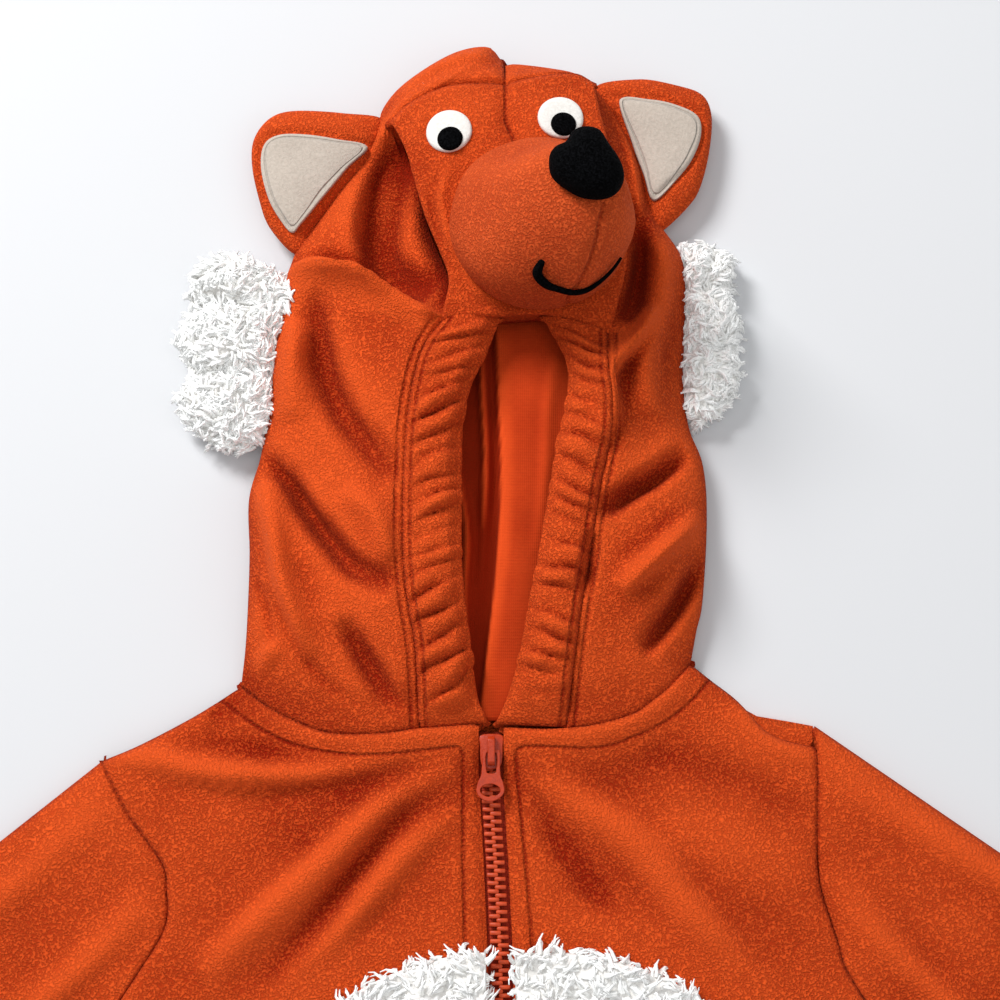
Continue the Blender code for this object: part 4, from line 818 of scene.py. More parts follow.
def buildBack(side):
    sign = sides[side]
    first = seams["armhole"][side][0][0]
    end = back["shoulder"][side][-1][0]
    shares = spread(abs(end - seams["middle"]), back["step"])
    armpit = seams["armpit"]
    below = np.arange(armpit - 6, seams["hem"], -8.0)
    y = np.concatenate([np.linspace(first, armpit, 26), below, [seams["hem"] + 1]])
    low = np.where(y >= seams["crotch"], seams["middle"] + sign * 0.05, innerX(side, y) + sign * 0.6)[:, None]
    high = outerX(side, y)[:, None] - sign * np.where(y > armpit, 0.3, 0.7)[:, None]
    x = low + (high - low) * shares
    column = seams["middle"] + (end - seams["middle"]) * shares
    fade = np.maximum(1.0 - (first - y) / back["topFade"], 0.0)[:, None] ** 2
    raised = y[:, None] + (backTop(side, column) - first)[None] * fade
    xy = np.stack([x, raised], -1)
    fromSide = np.abs(x - high) + 0 * raised
    legs = (y < seams["crotch"])[:, None]
    distance = np.where(y[:, None] < armpit + 4, fromSide, noSeam)
    distance = np.where(legs, np.minimum(distance, np.abs(x - low)), distance)
    height = back["lift"] * (1.0 - roll(distance, back["curl"]))
    piece = clothPiece(f"back.{side}", np.dstack([xy, height]), "fleece", cloth["floorWall"],
                       relief=np.zeros(x.shape), sign=-1.0)
    sheet(piece, "fleece", f"back_{side}", back)


# sleeves, tubes pressed flat from the armhole to the cuff
sleeve = {
    "cuff": {
        "right": ((-372, -196), (-316, -264)),
        "left": ((358, -168), (306, -238)),
    },
    "height": 8.2, "middle": 4.0, "roll": 9.0, "underRoll": 5.0, "topLeft": 4.4,
    "stations": 68, "around": 54, "under": 16, "unevenness": 0.35,
    "hemWidth": 16.0, "wall": 1.9,
    "flat": (0.285, 0.262), "area": 0.0495,
    "folds": {
        "right": (
            (3.2, 10, 12, ((-118, -54), (-160, -92), (-210, -128))),
            (2.6, 10, 10, ((-136, -24), (-180, -62), (-240, -104), (-300, -150))),
            (-1.4, 8, 8, ((-130, -60), (-176, -104), (-226, -150))),
            (2.2, 8, 9, ((-236, -176), (-268, -196), (-312, -214))),
            (2.0, 8, 8, ((-300, -168), (-318, -188), (-326, -206))),
        ),
        "left": (
            (3.0, 10, 12, ((112, -44), (150, -86), (196, -122))),
            (2.6, 10, 10, ((116, -14), (170, -46), (232, -84), (288, -122))),
            (-1.4, 8, 8, ((120, -52), (168, -98), (214, -140))),
            (2.2, 8, 9, ((226, -160), (262, -176), (300, -192))),
            (2.0, 8, 8, ((284, -140), (302, -162), (312, -182))),
        ),
    },
}
sleeveFolds = {side: foldLines(rows) for side, rows in sleeve["folds"].items()}


def buildSleeve(side):
    sign = sides[side]
    first = seams["armhole"][side][0][0]
    y = np.linspace(first, seams["armpit"], 240)
    hole = np.stack([outerX(side, y) + sign * cloth["seam"], y], -1)
    if side == "left":
        hole = np.vstack([[hole[0, 0], sleeve["topLeft"]], hole])
    steps = np.concatenate([[0.0], np.cumsum(np.linalg.norm(np.diff(hole, axis=0), axis=1))])
    steps /= steps[-1]
    cuff = np.array(sleeve["cuff"][side], float)
    upper = 0.5 - 0.5 * np.cos(np.linspace(0, np.pi, sleeve["around"]))
    upper = 0.35 * upper + 0.65 * np.linspace(0, 1, sleeve["around"])
    lower = (0.5 - 0.5 * np.cos(np.linspace(0, np.pi, sleeve["under"])))[::-1][1:-1]
    shares = np.concatenate([upper, lower])
    isUpper = np.arange(len(shares)) < len(upper)
    start = np.stack([np.interp(shares, steps, hole[:, k]) for k in (0, 1)], -1)
    end = cuff[0] + (cuff[1] - cuff[0]) * shares[:, None]
    length = float(np.linalg.norm(end.mean(0) - start.mean(0)))
    station = spread(length, length / sleeve["stations"])[:, None, None]
    xy = start + (end - start) * station
    span = np.linalg.norm(xy[:, 0] - xy[:, len(upper) - 1], axis=1)[:, None]
    fromEdge = np.minimum(shares, 1 - shares)[None] * span
    height = sleeve["height"] + foldHeight(sleeveFolds[side], xy)
    height += sleeve["unevenness"] * softNoise(xy, 36.0, 8)
    fromHole = station[..., 0] * length
    height = height - dip(fromHole) - dip(fromHole - (length - sleeve["hemWidth"]), *front["stitchDip"])
    crest = sleeve["middle"] + (np.maximum(height, 6.0) - sleeve["middle"]) * roll(fromEdge, sleeve["roll"])
    low = sleeve["middle"] * (1 - roll(fromEdge, sleeve["underRoll"]))
    z = np.where(isUpper[None], crest, low)
    stitch = fromHole - (length - sleeve["hemWidth"]) + 0 * z
    grid = np.dstack([xy, z])
    relief = np.where(isUpper[None], reliefOf(crest, 7, 7), 0.0)
    piece = clothPiece(f"sleeve.{side}", grid, "fleece", 0, stitch, relief, closed=True,
                       seam=fromHole + 0 * z)
    turnOut(piece)
    giveWall(piece, sleeve["wall"])
    sheet(piece, "fleece", f"sleeve_{side}", sleeve)


# hood: side panels from the band and the face panel round to the outline
hood = {
    "height": 17.0, "roll": 16.0, "neckFade": 12.0, "seamFade": 60.0, "shadowReach": 8.0,
    "ties": {"right": ((-81, 155), (-45, 233)), "left": ((67.2, 141), (36.5, 242))},
    "step": 1.95, "unevenness": 0.5,
    "stitchOut": 2.6,      # topstitch beside the band seam
    "crownDip": (2.2, 1.6), "middleDip": (1.5, 2.0), "stitchDip": (0.7, 1.2),
    "under": ((-0.15, 1.0), (0.0, 2.3), (0.7, 3.6), (1.8, 4.5), (3.0, 5.0)),
    "foldGain": 1.8,
    "shadow": {"right": 1.5, "left": 1.2},                   # painted shadow: how much darker the pile is painted there
    "sink": {"right": (19.0, 12.0), "left": (6.0, 6.0)},     # how deep, and how far, beside the face panel
    # sharper creases laid over the broad folds
    "creases": {
        "right": ((4.5, 2.0, 6, ((-85, 169), (-75, 171), (-61, 169), (-46, 164), (-32, 155), (-23, 148))),
                  (-3.4, 6, 2.0, ((-80, 173), (-61, 172), (-46, 167), (-33, 159))),
                  (-2.2, 2.5, 5, ((-84, 100), (-73, 89), (-65, 77), (-56, 65), (-46, 58))),
                  (1.8, 4, 2.5, ((-78, 97), (-68, 86), (-60, 74))),
                  (-1.8, 3, 4, ((-80, 52), (-74, 38), (-66, 24), (-54, 14), (-38, 7))),
                  (1.6, 3, 3, ((-50, 118), (-44, 104), (-38, 94))),
                  (2.4, 6, 6, ((-38, 236), (-28, 245), (-14, 251), (-3, 252))),
                  (-2.0, 3, 3, ((-88, 60), (-82, 44), (-80, 30)))),
        "left": ((-2.2, 2.5, 4, ((68, 99), (56, 90), (47, 84), (38, 77))),
                 (2.2, 2.5, 5, ((57, 154), (49, 139), (42, 128), (41, 113))),
                 (-2.0, 3, 4, ((70, 60), (60, 42), (50, 27))),
                 (1.8, 3, 3, ((70, 74), (57, 62), (43, 49))),
                 (3.6, 3.5, 3.5, ((35, 240), (44, 228), (49, 211), (51, 194), (49, 176))),
                 (-1.8, 4, 2.5, ((54, 142), (46, 132), (40, 122)))),
    },
    "flat": {"right": (0.098, 0.268), "left": (0.076, 0.262)}, "area": {"right": 0.0192, "left": 0.0136},
    "folds": {
        "right": (
            (4.5, 5, 12, ((-84, 168), (-75, 170), (-61, 168), (-46, 163), (-32, 154), (-22, 146))),
            (-9.5, 15, 12, ((-36, 222), (-43, 200), (-44, 178), (-36, 164), (-25, 157))),
            (-5.5, 9, 11, ((-69, 160), (-62, 130), (-55, 114), (-44, 100), (-36, 88))),
            (-6.0, 7, 9, ((-86, 102), (-75, 91), (-67, 79), (-58, 67), (-50, 58), (-36, 52))),
            (4.5, 9, 5, ((-86, 90), (-81, 72), (-77, 54), (-71, 38), (-67, 26))),
            (3.0, 6, 5, ((-90, 18), (-84, 25), (-77, 32))),
            (-4.0, 7, 8, ((-55, 40), (-44, 22), (-38, 13), (-30, 8))),
            (4.0, 10, 12, ((-72, 150), (-76, 132), (-74, 112))),
            (3.5, 8, 8, ((-56, 86), (-44, 76), (-38, 60))),
        ),
        "left": (
            (-4.5, 7, 7, ((67, 101), (55, 91), (46, 85), (35, 76))),
            (5.0, 5, 12, ((56, 152), (47, 137), (39, 127), (40, 112), (36, 102))),
            (4.0, 9, 9, ((61, 186), (60, 165), (57, 150), (52, 132), (54, 112))),
            (-5.5, 6, 8, ((73, 64), (62, 44), (50, 28))),
            (4.5, 8, 8, ((73, 78), (57, 64), (41, 49))),
            (-3.0, 5, 5, ((32, 70), (29, 48))),
            (-6.5, 7, 7, ((44, 146), (49, 160), (51, 178), (47, 196))),
        ),
    },
}
hoodBack = {"inset": 3.2, "flat": {"right": (0.090, 0.237), "left": (0.076, 0.237)},
            "area": {"right": 0.0183, "left": 0.0148}}
hoodFolds = {side: foldLines(rows, hood["foldGain"]) + foldLines(hood["creases"][side])
             for side, rows in hood["folds"].items()}


def faceShadow(side, xy, reach):
    # 1 along the face panel's overhanging edge, falling off away from it; it sinks the hood beside the edge
    # and gives its painted shadow
    distance, share = lines["faceEdge"][side].nearest(xy)
    return np.exp(-np.abs(distance) / reach) * np.sin(np.pi * share) ** 0.5


def hoodHeight(side, xy, seamHeight, across):
    height = seamHeight + (hood["height"] - seamHeight) * across
    height = height + foldHeight(hoodFolds[side], xy)
    edge = np.sin(np.pi * np.clip(across, 0, 1))
    height = height + edge * hood["unevenness"] * (softNoise(xy, 30.0, 11) + 0.5 * softNoise(xy, 14.0, 12))
    depth, reach = hood["sink"][side]
    height = height - depth * faceShadow(side, xy, reach)
    below = fromLine("neck", side, xy)
    height = height + (neckHeight(xy[..., 0]) - height) * np.exp(-(below / hood["neckFade"]) ** 2)
    return roundDown(height, fromLine("hood", side, xy), hood["roll"])


def hoodRows(side):
    # seam point and outline point of every row, from the neck to the crown's middle
    outline = lines["hood"][side]
    ties = outline.nearest(np.array(hood["ties"][side], float))[1]
    places = [0.0, *map(float, ties), 1.0]
    seam, edge = [], []
    for part, lineName in enumerate(("band", "faceEdge", "crown")):
        line = lines[lineName][side]
        shares = spread(line.length, hood["step"])
        if part == 1:
            shares = np.linspace(0, 1, int(line.length / hood["step"]))
        if part < 2:
            shares = shares[:-1]
        seam.append(line.at(shares))
        edge.append(outline.at(places[part] + (places[part + 1] - places[part]) * shares))
    return np.vstack(seam), np.vstack(edge), len(seam[0]), len(seam[0]) + len(seam[1])


def buildHoodSide(side):
    sign = sides[side]
    seam, edge, bandEnd, faceEnd = hoodRows(side)
    step = np.linalg.norm(np.diff(seam[:, :2], axis=0), axis=1)
    reach = np.concatenate([[0.0], np.cumsum(step)])
    along = np.gradient(seam[:, :2], axis=0)
    along /= np.maximum(np.linalg.norm(along, axis=1, keepdims=True), 1e-6)
    out = np.stack([-along[:, 1], along[:, 0]], -1) * (1 if side == "right" else -1)
    inner = seam[:, :2] + out * cloth["seam"]
    fade = np.maximum(1.0 - reach / hood["seamFade"], 0.0)[:, None] ** 2
    across = spread(62.0, 1.5)[None]
    xy = inner[:, None] + (edge[:, None, :2] - inner[:, None]) * across[..., None]
    start, corner = seams["band"][side][0][0], seams["neck"][side][-1][0]
    level = seam[0, 1] + (seams["neck"][side][-1][1] - seam[0, 1]) * across
    xy[..., 1] += (topY(side, start + (corner - start) * across) + cloth["seam"] - level) * fade
    height = hoodHeight(side, xy, seam[:, None, 2], across + 0 * fade)
    # painted shadow: the pile beside the face panel's edge is painted darker
    relief = reliefOf(height) - hood["shadow"][side] * faceShadow(side, xy, hood["shadowReach"])
    fromNeck, fromCrown = fromLine("neck", side, xy), fromLine("crown", side, xy)
    row = np.arange(len(seam))[:, None]
    beside = row < bandEnd
    fromSeam = np.where(beside, fromLine("band", side, xy), noSeam)
    fromMiddle = np.where(row > faceEnd + 4, xy[..., 0] - xy[-1:, :, 0], noSeam)
    stitch = np.where(beside, fromSeam - hood["stitchOut"], noSeam)
    height -= dip(fromSeam) + dip(fromNeck)
    height -= dip(fromCrown, *hood["crownDip"])
    height -= dip(fromMiddle, *hood["middleDip"])
    height -= dip(stitch, *hood["stitchDip"])
    down = cloth["turnedDown"]
    piece = clothPiece(f"hoodSide.{side}", np.dstack([xy, height]), "fleece", cloth["wall"], stitch, relief,
                       (("left", down), ("right", hood["under"]), ("first", down), ("last", down)),
                       lowest=0.4, seam=nearest(fromNeck, fromCrown, fromMiddle, fromSeam))
    settle(piece)
    sheet(piece, "fleece", f"hood_side_{side}", hood, side)


def buildHoodBack(side):
    # flat on the floor, from the middle seam to the rolled outline
    sign = sides[side]
    outline = lines["hood"][side].points[:, :2]
    rising = outline[outline[:, 1] > back["neckY"] + 1]
    order = np.argsort(rising[:, 1])
    y = np.linspace(back["neckY"] + 0.6, 250.0, 34)
    high = np.interp(y, rising[order][:, 1], rising[order][:, 0]) - sign * hoodBack["inset"]
    low = np.full_like(y, seams["middle"] + sign * 0.05)
    high = np.where(sign * (high - low) > 3, high, low + sign * 3)
    shares = np.linspace(0, 1, 14)
    x = low[:, None] + (high - low)[:, None] * shares
    grid = np.dstack([x, y[:, None] + 0 * x, 0 * x])
    piece = clothPiece(f"hoodBack.{side}", grid, "fleece", cloth["floorWall"],
                       relief=np.zeros(x.shape), sign=-1.0)
    sheet(piece, "fleece", f"hood_back_{side}", hoodBack, side=side)


# elastic casing round the face opening, gathered across
band = {
    "gathers": 20, "slant": {"right": -1.25, "left": -0.35}, "height": 6.2, "puff": 1.8, "scallop": 1.3,
    "edgeDrop": 2.0, "wall": 1.1, "seamDip": (1.3, 1.6), "neckDip": (1.6, 1.9),
    "size": (150.0, 26.0), "wander": 0.13, "strengths": (0.3, 0.55, 0.85, 1.0), "unevenness": 0.35,
    "seed": {"right": 15, "left": 26}, "flowSeed": {"right": 21, "left": 22},
    "roundEdge": ((-0.7, 0.5), (-1.1, 1.4), (-0.9, 2.5), (0.2, 3.3), (7.0, 3.6)),
    "flat": (0.036, 0.205), "area": 0.0073,
}


def buildBand(side):
    sign = sides[side]
    seam, edge = lines["band"][side], lines["bandEdge"][side]
    share = np.linspace(0, 1, band["gathers"] * 10 + 1)
    across = np.concatenate([[0, 0.03, 0.07, 0.13], np.linspace(0.19, 0.94, 15), [0.97, 0.99, 1.0]])
    outer, inner = seam.at(share), edge.at(share)
    outer[:, 0] -= sign * cloth["seam"]
    rng = np.random.default_rng(band["seed"][side])
    grid = outer[:, None] + (inner - outer)[:, None] * across[None, :, None]
    # gathers of uneven width, that lean and wander as they cross the casing
    widths = np.cumsum(rng.uniform(0.55, 1.45, band["gathers"] + 3))
    place = np.interp(share, np.linspace(0, 1, len(widths)), (widths - widths[0]) / (widths[-1] - widths[0]))
    long, wide = band["size"]
    flow = np.stack([share[:, None] * long + 0 * across, across[None] * wide + 0 * share[:, None]], -1)
    wander = band["wander"] * softNoise(flow, 30.0, band["flowSeed"][side])
    phase = place[:, None] * band["gathers"] + band["slant"][side] * across + wander
    crest = np.sqrt(np.abs(np.sin(np.pi * phase)))
    index = np.floor(phase).astype(int) + 4
    # each gather fades out somewhere across the casing
    count = int(index.max()) + 3
    strength = rng.choice(band["strengths"], count)[index]
    middle, reach = rng.uniform(0.0, 1.0, count)[index], rng.uniform(0.35, 0.9, count)[index]
    strength = strength * np.exp(-((across[None] - middle) / reach) ** 2)
    ends = (smoothStep(share * 14) * smoothStep((1 - share) * 14))[:, None]
    puff = np.sin(np.pi * np.clip(across * 0.97 + 0.02, 0, 1)) ** 0.55
    uneven = band["unevenness"] * softNoise(grid[..., :2], 9.0, 23)
    lift = puff * (band["puff"] + band["height"] * (crest - 0.35) * strength * ends + uneven)
    beside = foldHeight(hoodFolds[side], grid[..., :2]) * (1 - smoothStep(across * 1.2))
    raised = grid[..., 2] + lift + beside - band["edgeDrop"] * smoothStep((across - 0.78) / 0.22)
    atNeck = np.exp(-(share * seam.length / 7.0) ** 2)[:, None]
    grid[..., 2] = raised + (neckHeight(grid[..., 0]) - raised) * atNeck
    fromSeam = np.abs(seam.nearest(grid)[0])
    grid[..., 2] -= dip(fromSeam, *band["seamDip"]) + dip(share * seam.length, *band["neckDip"])[:, None]
    scallop = band["scallop"] * (crest - 0.5) * strength * ends
    grid[..., 0] += -sign * scallop * smoothStep((across - 0.55) / 0.45)
    # painted light and shade: gather crests lighter and the hollows between them darker
    relief = np.clip((crest - 0.68) * 2.6, -1.3, 0.7) * ends * puff * strength
    joined = nearest(fromSeam, (share * seam.length)[:, None])
    down = cloth["turnedDown"]
    piece = clothPiece(f"hoodBand.{side}", grid, "fleece", band["wall"], fromSeam - hood["stitchOut"], relief,
                       (("left", down), ("right", band["roundEdge"]), ("first", down), ("last", down)),
                       seam=joined)
    sheet(piece, "fleece", f"hood_band_{side}", band)


# jersey lining inside the hood
lining = {
    "height": 6.2, "inset": 1.0, "top": 16.0, "low": 4.3,
    # height, reach on the left of the line, reach on the right
    "folds": ((9.0, 60, 1.6, ((-1.6, 158), (-0.6, 126), (0.6, 100), (0.2, 76), (-1.6, 52), (-4.6, 26),
                              (-8.0, 0))),
              (-2.4, 1.8, 3.6, ((-4.0, 150), (-3.0, 126), (-2.0, 100), (-2.4, 76), (-4.4, 50))),
              (5.5, 7, 1.5, ((-7.6, 146), (-6.8, 124), (-5.6, 100), (-6.6, 74))),
              (3.6, 1.5, 4.5, ((-15.5, 100), (-13.2, 86), (-11.4, 72), (-12.2, 50), (-11.5, 28))),
              (-1.5, 3, 3, ((-9.0, 92), (-8.6, 74), (-9.2, 54))),
              (1.2, 5, 4, ((20, 140), (17, 116), (16, 92), (13, 64)))),
    "shadow": 0.5,
    "flat": (0.078, 0.168), "area": 0.0118,
}
liningFolds = foldLines(lining["folds"], 1.0)


def buildLining():
    share = np.linspace(0.02, 0.97, 90)
    low = lines["band"]["right"].at(share)[:, :2] + (lining["inset"], 0)
    high = lines["band"]["left"].at(share)[:, :2] - (lining["inset"], 0)
    extra = np.linspace(0.12, 1, 8)[:, None] * (0, lining["top"])
    low, high = np.vstack([low, low[-1] + extra]), np.vstack([high, high[-1] + extra])
    across = np.linspace(0, 1, 62)
    xy = low[:, None] + (high - low)[:, None] * across[None, :, None]
    edge = np.minimum(across, 1 - across) * 12.0
    height = lining["height"] + foldHeight(liningFolds, xy) + 0.35 * softNoise(xy, 22.0, 31)
    height = lining["low"] + (height - lining["low"]) * smoothStep(edge)
    height = np.maximum(height, lining["low"])
    # the layers left of the central roll lie deep, and painted shadow makes them dark
    fromRoll = liningFolds[0][3].nearest(xy)[0]
    relief = reliefOf(height, 5, 5) - lining["shadow"] * smoothStep(-fromRoll / 3.0)
    piece = clothPiece("hoodLining", np.dstack([xy, height]), "jersey", cloth["jersey"], relief=relief)
    sheet(piece, "jersey", "hood_lining", lining)


# face panel, over the tops of the casing
face = {
    "height": 27.0, "rise": 7.0, "crown": ((4.0, 44.0), (194.0, 50.0)),
    "brow": (1.2, (2.0, 7.0), (214.0, 13.0)),
    "dart": ((2.0, 236.4), (2.0, 229.6), (2.2, 221.0), (5.2, 212.5)),
    "folds": ((0.8, 4, 4, ((-26, 226), (-31, 217), (-26, 208))),
              (2.0, 2.6, 2.6, ((-17.6, 204), (-20.8, 192), (-19.2, 181), (-15.6, 171), (-11, 162))),
              (-1.3, 2.2, 2.4, ((-22, 200), (-24.4, 191), (-22.6, 180), (-19, 170), (-15, 162))),
              (1.5, 2.4, 2.4, ((-13, 165), (-7, 156.5), (3, 152))),
              (-1.0, 2, 2, ((-16, 162), (-8, 153), (4, 149.6)))),
    # how its edge overhangs the hood and comes down on it, and the last row is the crown seam
    "over": ((-0.8, 0.5), (-1.4, 1.5), (-1.3, 3.2), (-0.6, 5.4), (0.0, 8.0), (0.2, 12.0), (0.4, 16.5)),
    "dartDip": (1.5, 1.9), "unevenness": 0.3, "flat": (0.098, 0.116), "area": 0.0095,
}
faceFolds = foldLines(face["folds"], 1.0)
dartLine = Line(face["dart"])


def faceHeight(x, y):
    across, along = [(place - middle) / half for place, (middle, half) in zip((x, y), face["crown"])]
    crown = np.maximum(1.0 - across ** 2, 0.0) * np.maximum(1.0 - along ** 2, 0.0)
    depth, *spots = face["brow"]
    brow = [(place - middle) / reach for place, (middle, reach) in zip((x, y), spots)]
    return face["height"] + face["rise"] * crown - depth * np.exp(-brow[0] ** 2 - brow[1] ** 2)


def buildFace():
    foot = Line(seams["faceFoot"])
    share, across = spread(88.0, 1.5), spread(66.0, 1.3)
    low, high = lines["faceEdge"]["right"].at(share)[:, :2], lines["faceEdge"]["left"].at(share)[:, :2]
    crown = np.vstack([lines["crown"]["right"].at(np.linspace(0, 1, 40))[:, :2],
                       lines["crown"]["left"].at(np.linspace(1, 0, 40))[1:, :2]])
    steps = np.concatenate([[0], np.cumsum(np.linalg.norm(np.diff(crown, axis=0), axis=1))])
    crownAt = np.stack([np.interp(across * steps[-1], steps, crown[:, k]) for k in (0, 1)], -1)
    footAt = foot.at(across)[:, :2]
    xy = low[:, None] + (high - low)[:, None] * across[None, :, None]
    bend = footAt - (footAt[:1] * (1 - across[:, None]) + footAt[-1:] * across[:, None])
    xy += bend[None] * ((1 - share) ** 3)[:, None, None]
    bend = crownAt - (crownAt[:1] * (1 - across[:, None]) + crownAt[-1:] * across[:, None])
    xy += bend[None] * (share ** 3)[:, None, None]
    xy[..., 1] += (cloth["seam"] * (1 - 2 * share))[:, None]
    height = faceHeight(xy[..., 0], xy[..., 1]) + foldHeight(faceFolds, xy)
    height += face["unevenness"] * softNoise(xy, 19.0, 41)
    relief = reliefOf(height)
    fromCrown = nearest(*[fromLine("crown", side, xy) for side in sides])
    fromDart = dartLine.nearest(xy)[0]
    height -= dip(fromCrown, *hood["crownDip"]) + dip(fromDart, *face["dartDip"])
    stitch = np.where(xy[..., 1] > face["dart"][-1][1] - 0.5, fromDart, noSeam)
    over = face["over"]
    piece = clothPiece("facePanel", np.dstack([xy, height]), "fleece", cloth["wall"], stitch, relief,
                       (("left", over), ("right", over), ("first", over), ("last", cloth["turnedDown"])),
                       seam=fromCrown)
    settle(piece)
    sheet(piece, "fleece", "face", face)


for side in sides:
    buildBack(side)
    buildHoodBack(side)
    buildFront(side)
    buildSleeve(side)
    buildHoodSide(side)
    buildBand(side)
buildLining()
buildFace()
print("cloth panels made")


# forms that close on themselves: muzzle, nose, eyes, ears and fur
def closedForm(name, grid, finish, stitch=None, relief=None):
    # rings of points one over another, with both ends closed
    rows, columns = grid.shape[:2]
    faces = gridFaces(rows, columns, True)
    faces += [list(range((rows - 1) * columns, rows * columns)), list(range(columns))[::-1]]
    piece = makeMesh(name, grid.reshape(-1, 3), faces, finishes[finish])
    addValue(piece, "stitch", np.full((rows, columns), noSeam) if stitch is None else stitch)
    addValue(piece, "relief", np.zeros((rows, columns)) if relief is None else relief)
    addValue(piece, "seam", np.full((rows, columns), noSeam))
    turnOut(piece)
    return piece


def padForm(name, outline, middle, around, rings, top, under, finish, stitchInside=None):
    # outline drawn together toward its middle, under side first, then the top
    middle = np.array(middle, float)
    ring = outline.at(np.arange(around) / around)[:, :2]
    scales = np.cos(np.linspace(0.0, np.pi / 2 * 0.98, rings))
    rows, stitch = [], []
    for side, height in ((scales[::-1], under), (scales, top)):
        xy = middle + (ring - middle)[None] * side[:, None, None]
        share = side[:, None] + 0 * xy[..., 0]
        rows.append(np.dstack([xy, height(xy, share)]))
        inside = np.linalg.norm(ring - middle, axis=1)[None] * (1 - share)
        stitched = stitchInside and height is top
        stitch.append(inside - stitchInside if stitched else np.full(share.shape, noSeam))
    return closedForm(name, np.vstack(rows), finish, np.vstack(stitch))


def radialShare(outline, middle, xy):
    # 0 at the middle of a closed outline and 1 on it
    ring = outline.at(np.arange(240) / 240)[:, :2] - np.array(middle, float)
    angles, radii = np.arctan2(ring[:, 1], ring[:, 0]), np.hypot(ring[:, 0], ring[:, 1])
    order = np.argsort(angles)
    offset = xy - np.array(middle, float)
    angle = np.arctan2(offset[..., 1], offset[..., 0])
    radius = np.interp(angle, angles[order], radii[order], period=math.tau)
    return np.hypot(offset[..., 0], offset[..., 1]) / radius


def tube(name, path, radii, around, finish):
    # round cord along a path
    along = np.gradient(path, axis=0)
    along /= np.linalg.norm(along, axis=1, keepdims=True)
    side = np.cross(along, (0.0, 0.0, 1.0))
    side /= np.maximum(np.linalg.norm(side, axis=1, keepdims=True), 1e-6)
    up = np.cross(side, along)
    angle = np.arange(around) / around * math.tau
    circle = np.cos(angle)[None, :, None] * side[:, None] + np.sin(angle)[None, :, None] * up[:, None]
    return closedForm(name, path[:, None] + circle * np.asarray(radii)[:, None, None], finish)


muzzle = {
    # level by level: z, middle x, middle y, half width, half height
    "levels": ((29.4, 14.5, 179.2, 28.4, 28.0), (31.0, 14.5, 179.2, 30.2, 29.8),
               (34.5, 14.5, 179.2, 31.9, 31.0), (40, 14.6, 179.2, 32.4, 31.2), (48, 16.2, 177.6, 30.8, 29.4),
               (56, 18.8, 176.4, 27.6, 26.2), (64, 21.8, 177.2, 23.2, 22.0), (71, 24.8, 179.2, 18.0, 16.8),
               (75.5, 27.2, 182.2, 12.0, 12.0), (77.6, 28.4, 183.4, 4.5, 5.0), (77.9, 28.8, 183.6, 0.6, 0.6)),
    "around": 150, "rings": 74, "fill": 0.85, "unevenness": 0.55, "seamDip": (1.0, 1.7),
    # each point of the seam and the mouth is an angle in degrees and a level
    "seam": ((-50, 75), (-56, 73.6), (-61, 71.5), (-67, 64), (-72, 56), (-74, 47), (-73, 38), (-71, 31)),
    "mouth": ((-109, 64.5), (-107, 60.5), (-96, 57), (-86, 55), (-67, 50), (-53, 52), (-37, 56)),
    "mouthOut": 1.0, "mouthUp": 0.3,
    "mouthRadius": ((0.0, 1.1), (0.04, 1.75), (0.16, 1.6), (0.3, 1.15), (0.6, 0.95), (1.0, 0.5)),
}
muzzleTable = Line(muzzle["levels"], steps=14).points


def muzzlePoint(angle, level, out=0.0):
    x, y, halfX, halfY = [np.interp(level, muzzleTable[:, 0], muzzleTable[:, k]) for k in range(1, 5)]
    angle = np.radians(angle)
    x, y = x + (halfX + out) * np.cos(angle), y + (halfY + out) * np.sin(angle)
    return np.stack([x, y, level + 0 * angle], -1)


def nearestOnPath(points, path):
    # distance from each point to a path in space
    flat = points.reshape(-1, 3)
    best = np.full(len(flat), 99.0)
    for spot in path:
        best = np.minimum(best, np.linalg.norm(flat - spot, axis=1))
    return best.reshape(points.shape[:-1])


def buildMuzzle():
    turn = np.arange(muzzle["around"]) / muzzle["around"] * 360.0
    share = np.linspace(0, 1, muzzle["rings"])
    arc = np.hypot(np.diff(muzzleTable[:, 0]), np.diff(muzzleTable[:, 3]))
    arc = np.concatenate([[0], np.cumsum(arc)])
    level = np.interp(share * arc[-1], arc, muzzleTable[:, 0])
    grid = muzzlePoint(turn[None] + 0 * level[:, None], level[:, None] + 0 * turn[None])
    middle = np.array([np.interp(level, muzzleTable[:, 0], muzzleTable[:, k]) for k in (1, 2)]).T[:, None]
    out = grid[..., :2] - middle
    out /= np.maximum(np.linalg.norm(out, axis=-1, keepdims=True), 1e-6)
    unrolled = np.stack([turn[None] * 0.55 + 0 * level[:, None], level[:, None] + 0 * turn[None]], -1)
    uneven = muzzle["unevenness"] * softNoise(unrolled, 30.0, 51)
    fadeEnds = smoothStep((level - 31) / 10) * smoothStep((76 - level) / 10)
    seam = nearestOnPath(grid, muzzlePoint(*Line(muzzle["seam"]).at(np.linspace(0, 1, 160)).T))
    push = uneven * fadeEnds[:, None] - dip(seam, *muzzle["seamDip"])
    grid[..., :2] += out * push[..., None]
    # painted shade: the muzzle's bumps lighten and darken its colour
    piece = closedForm("snout", grid, "muzzle", stitch=seam, relief=uneven * 0.3)
    ride(piece, "fleece", "muzzle")
    share = np.linspace(0, 1, 90)
    path = muzzlePoint(*Line(muzzle["mouth"]).at(share).T, out=muzzle["mouthOut"])
    path[:, 2] += muzzle["mouthUp"]
    cord = tube("mouthCord", path, np.interp(share, *zip(*muzzle["mouthRadius"])), 14, "black")
    ride(cord, "black_plush", "mouth")


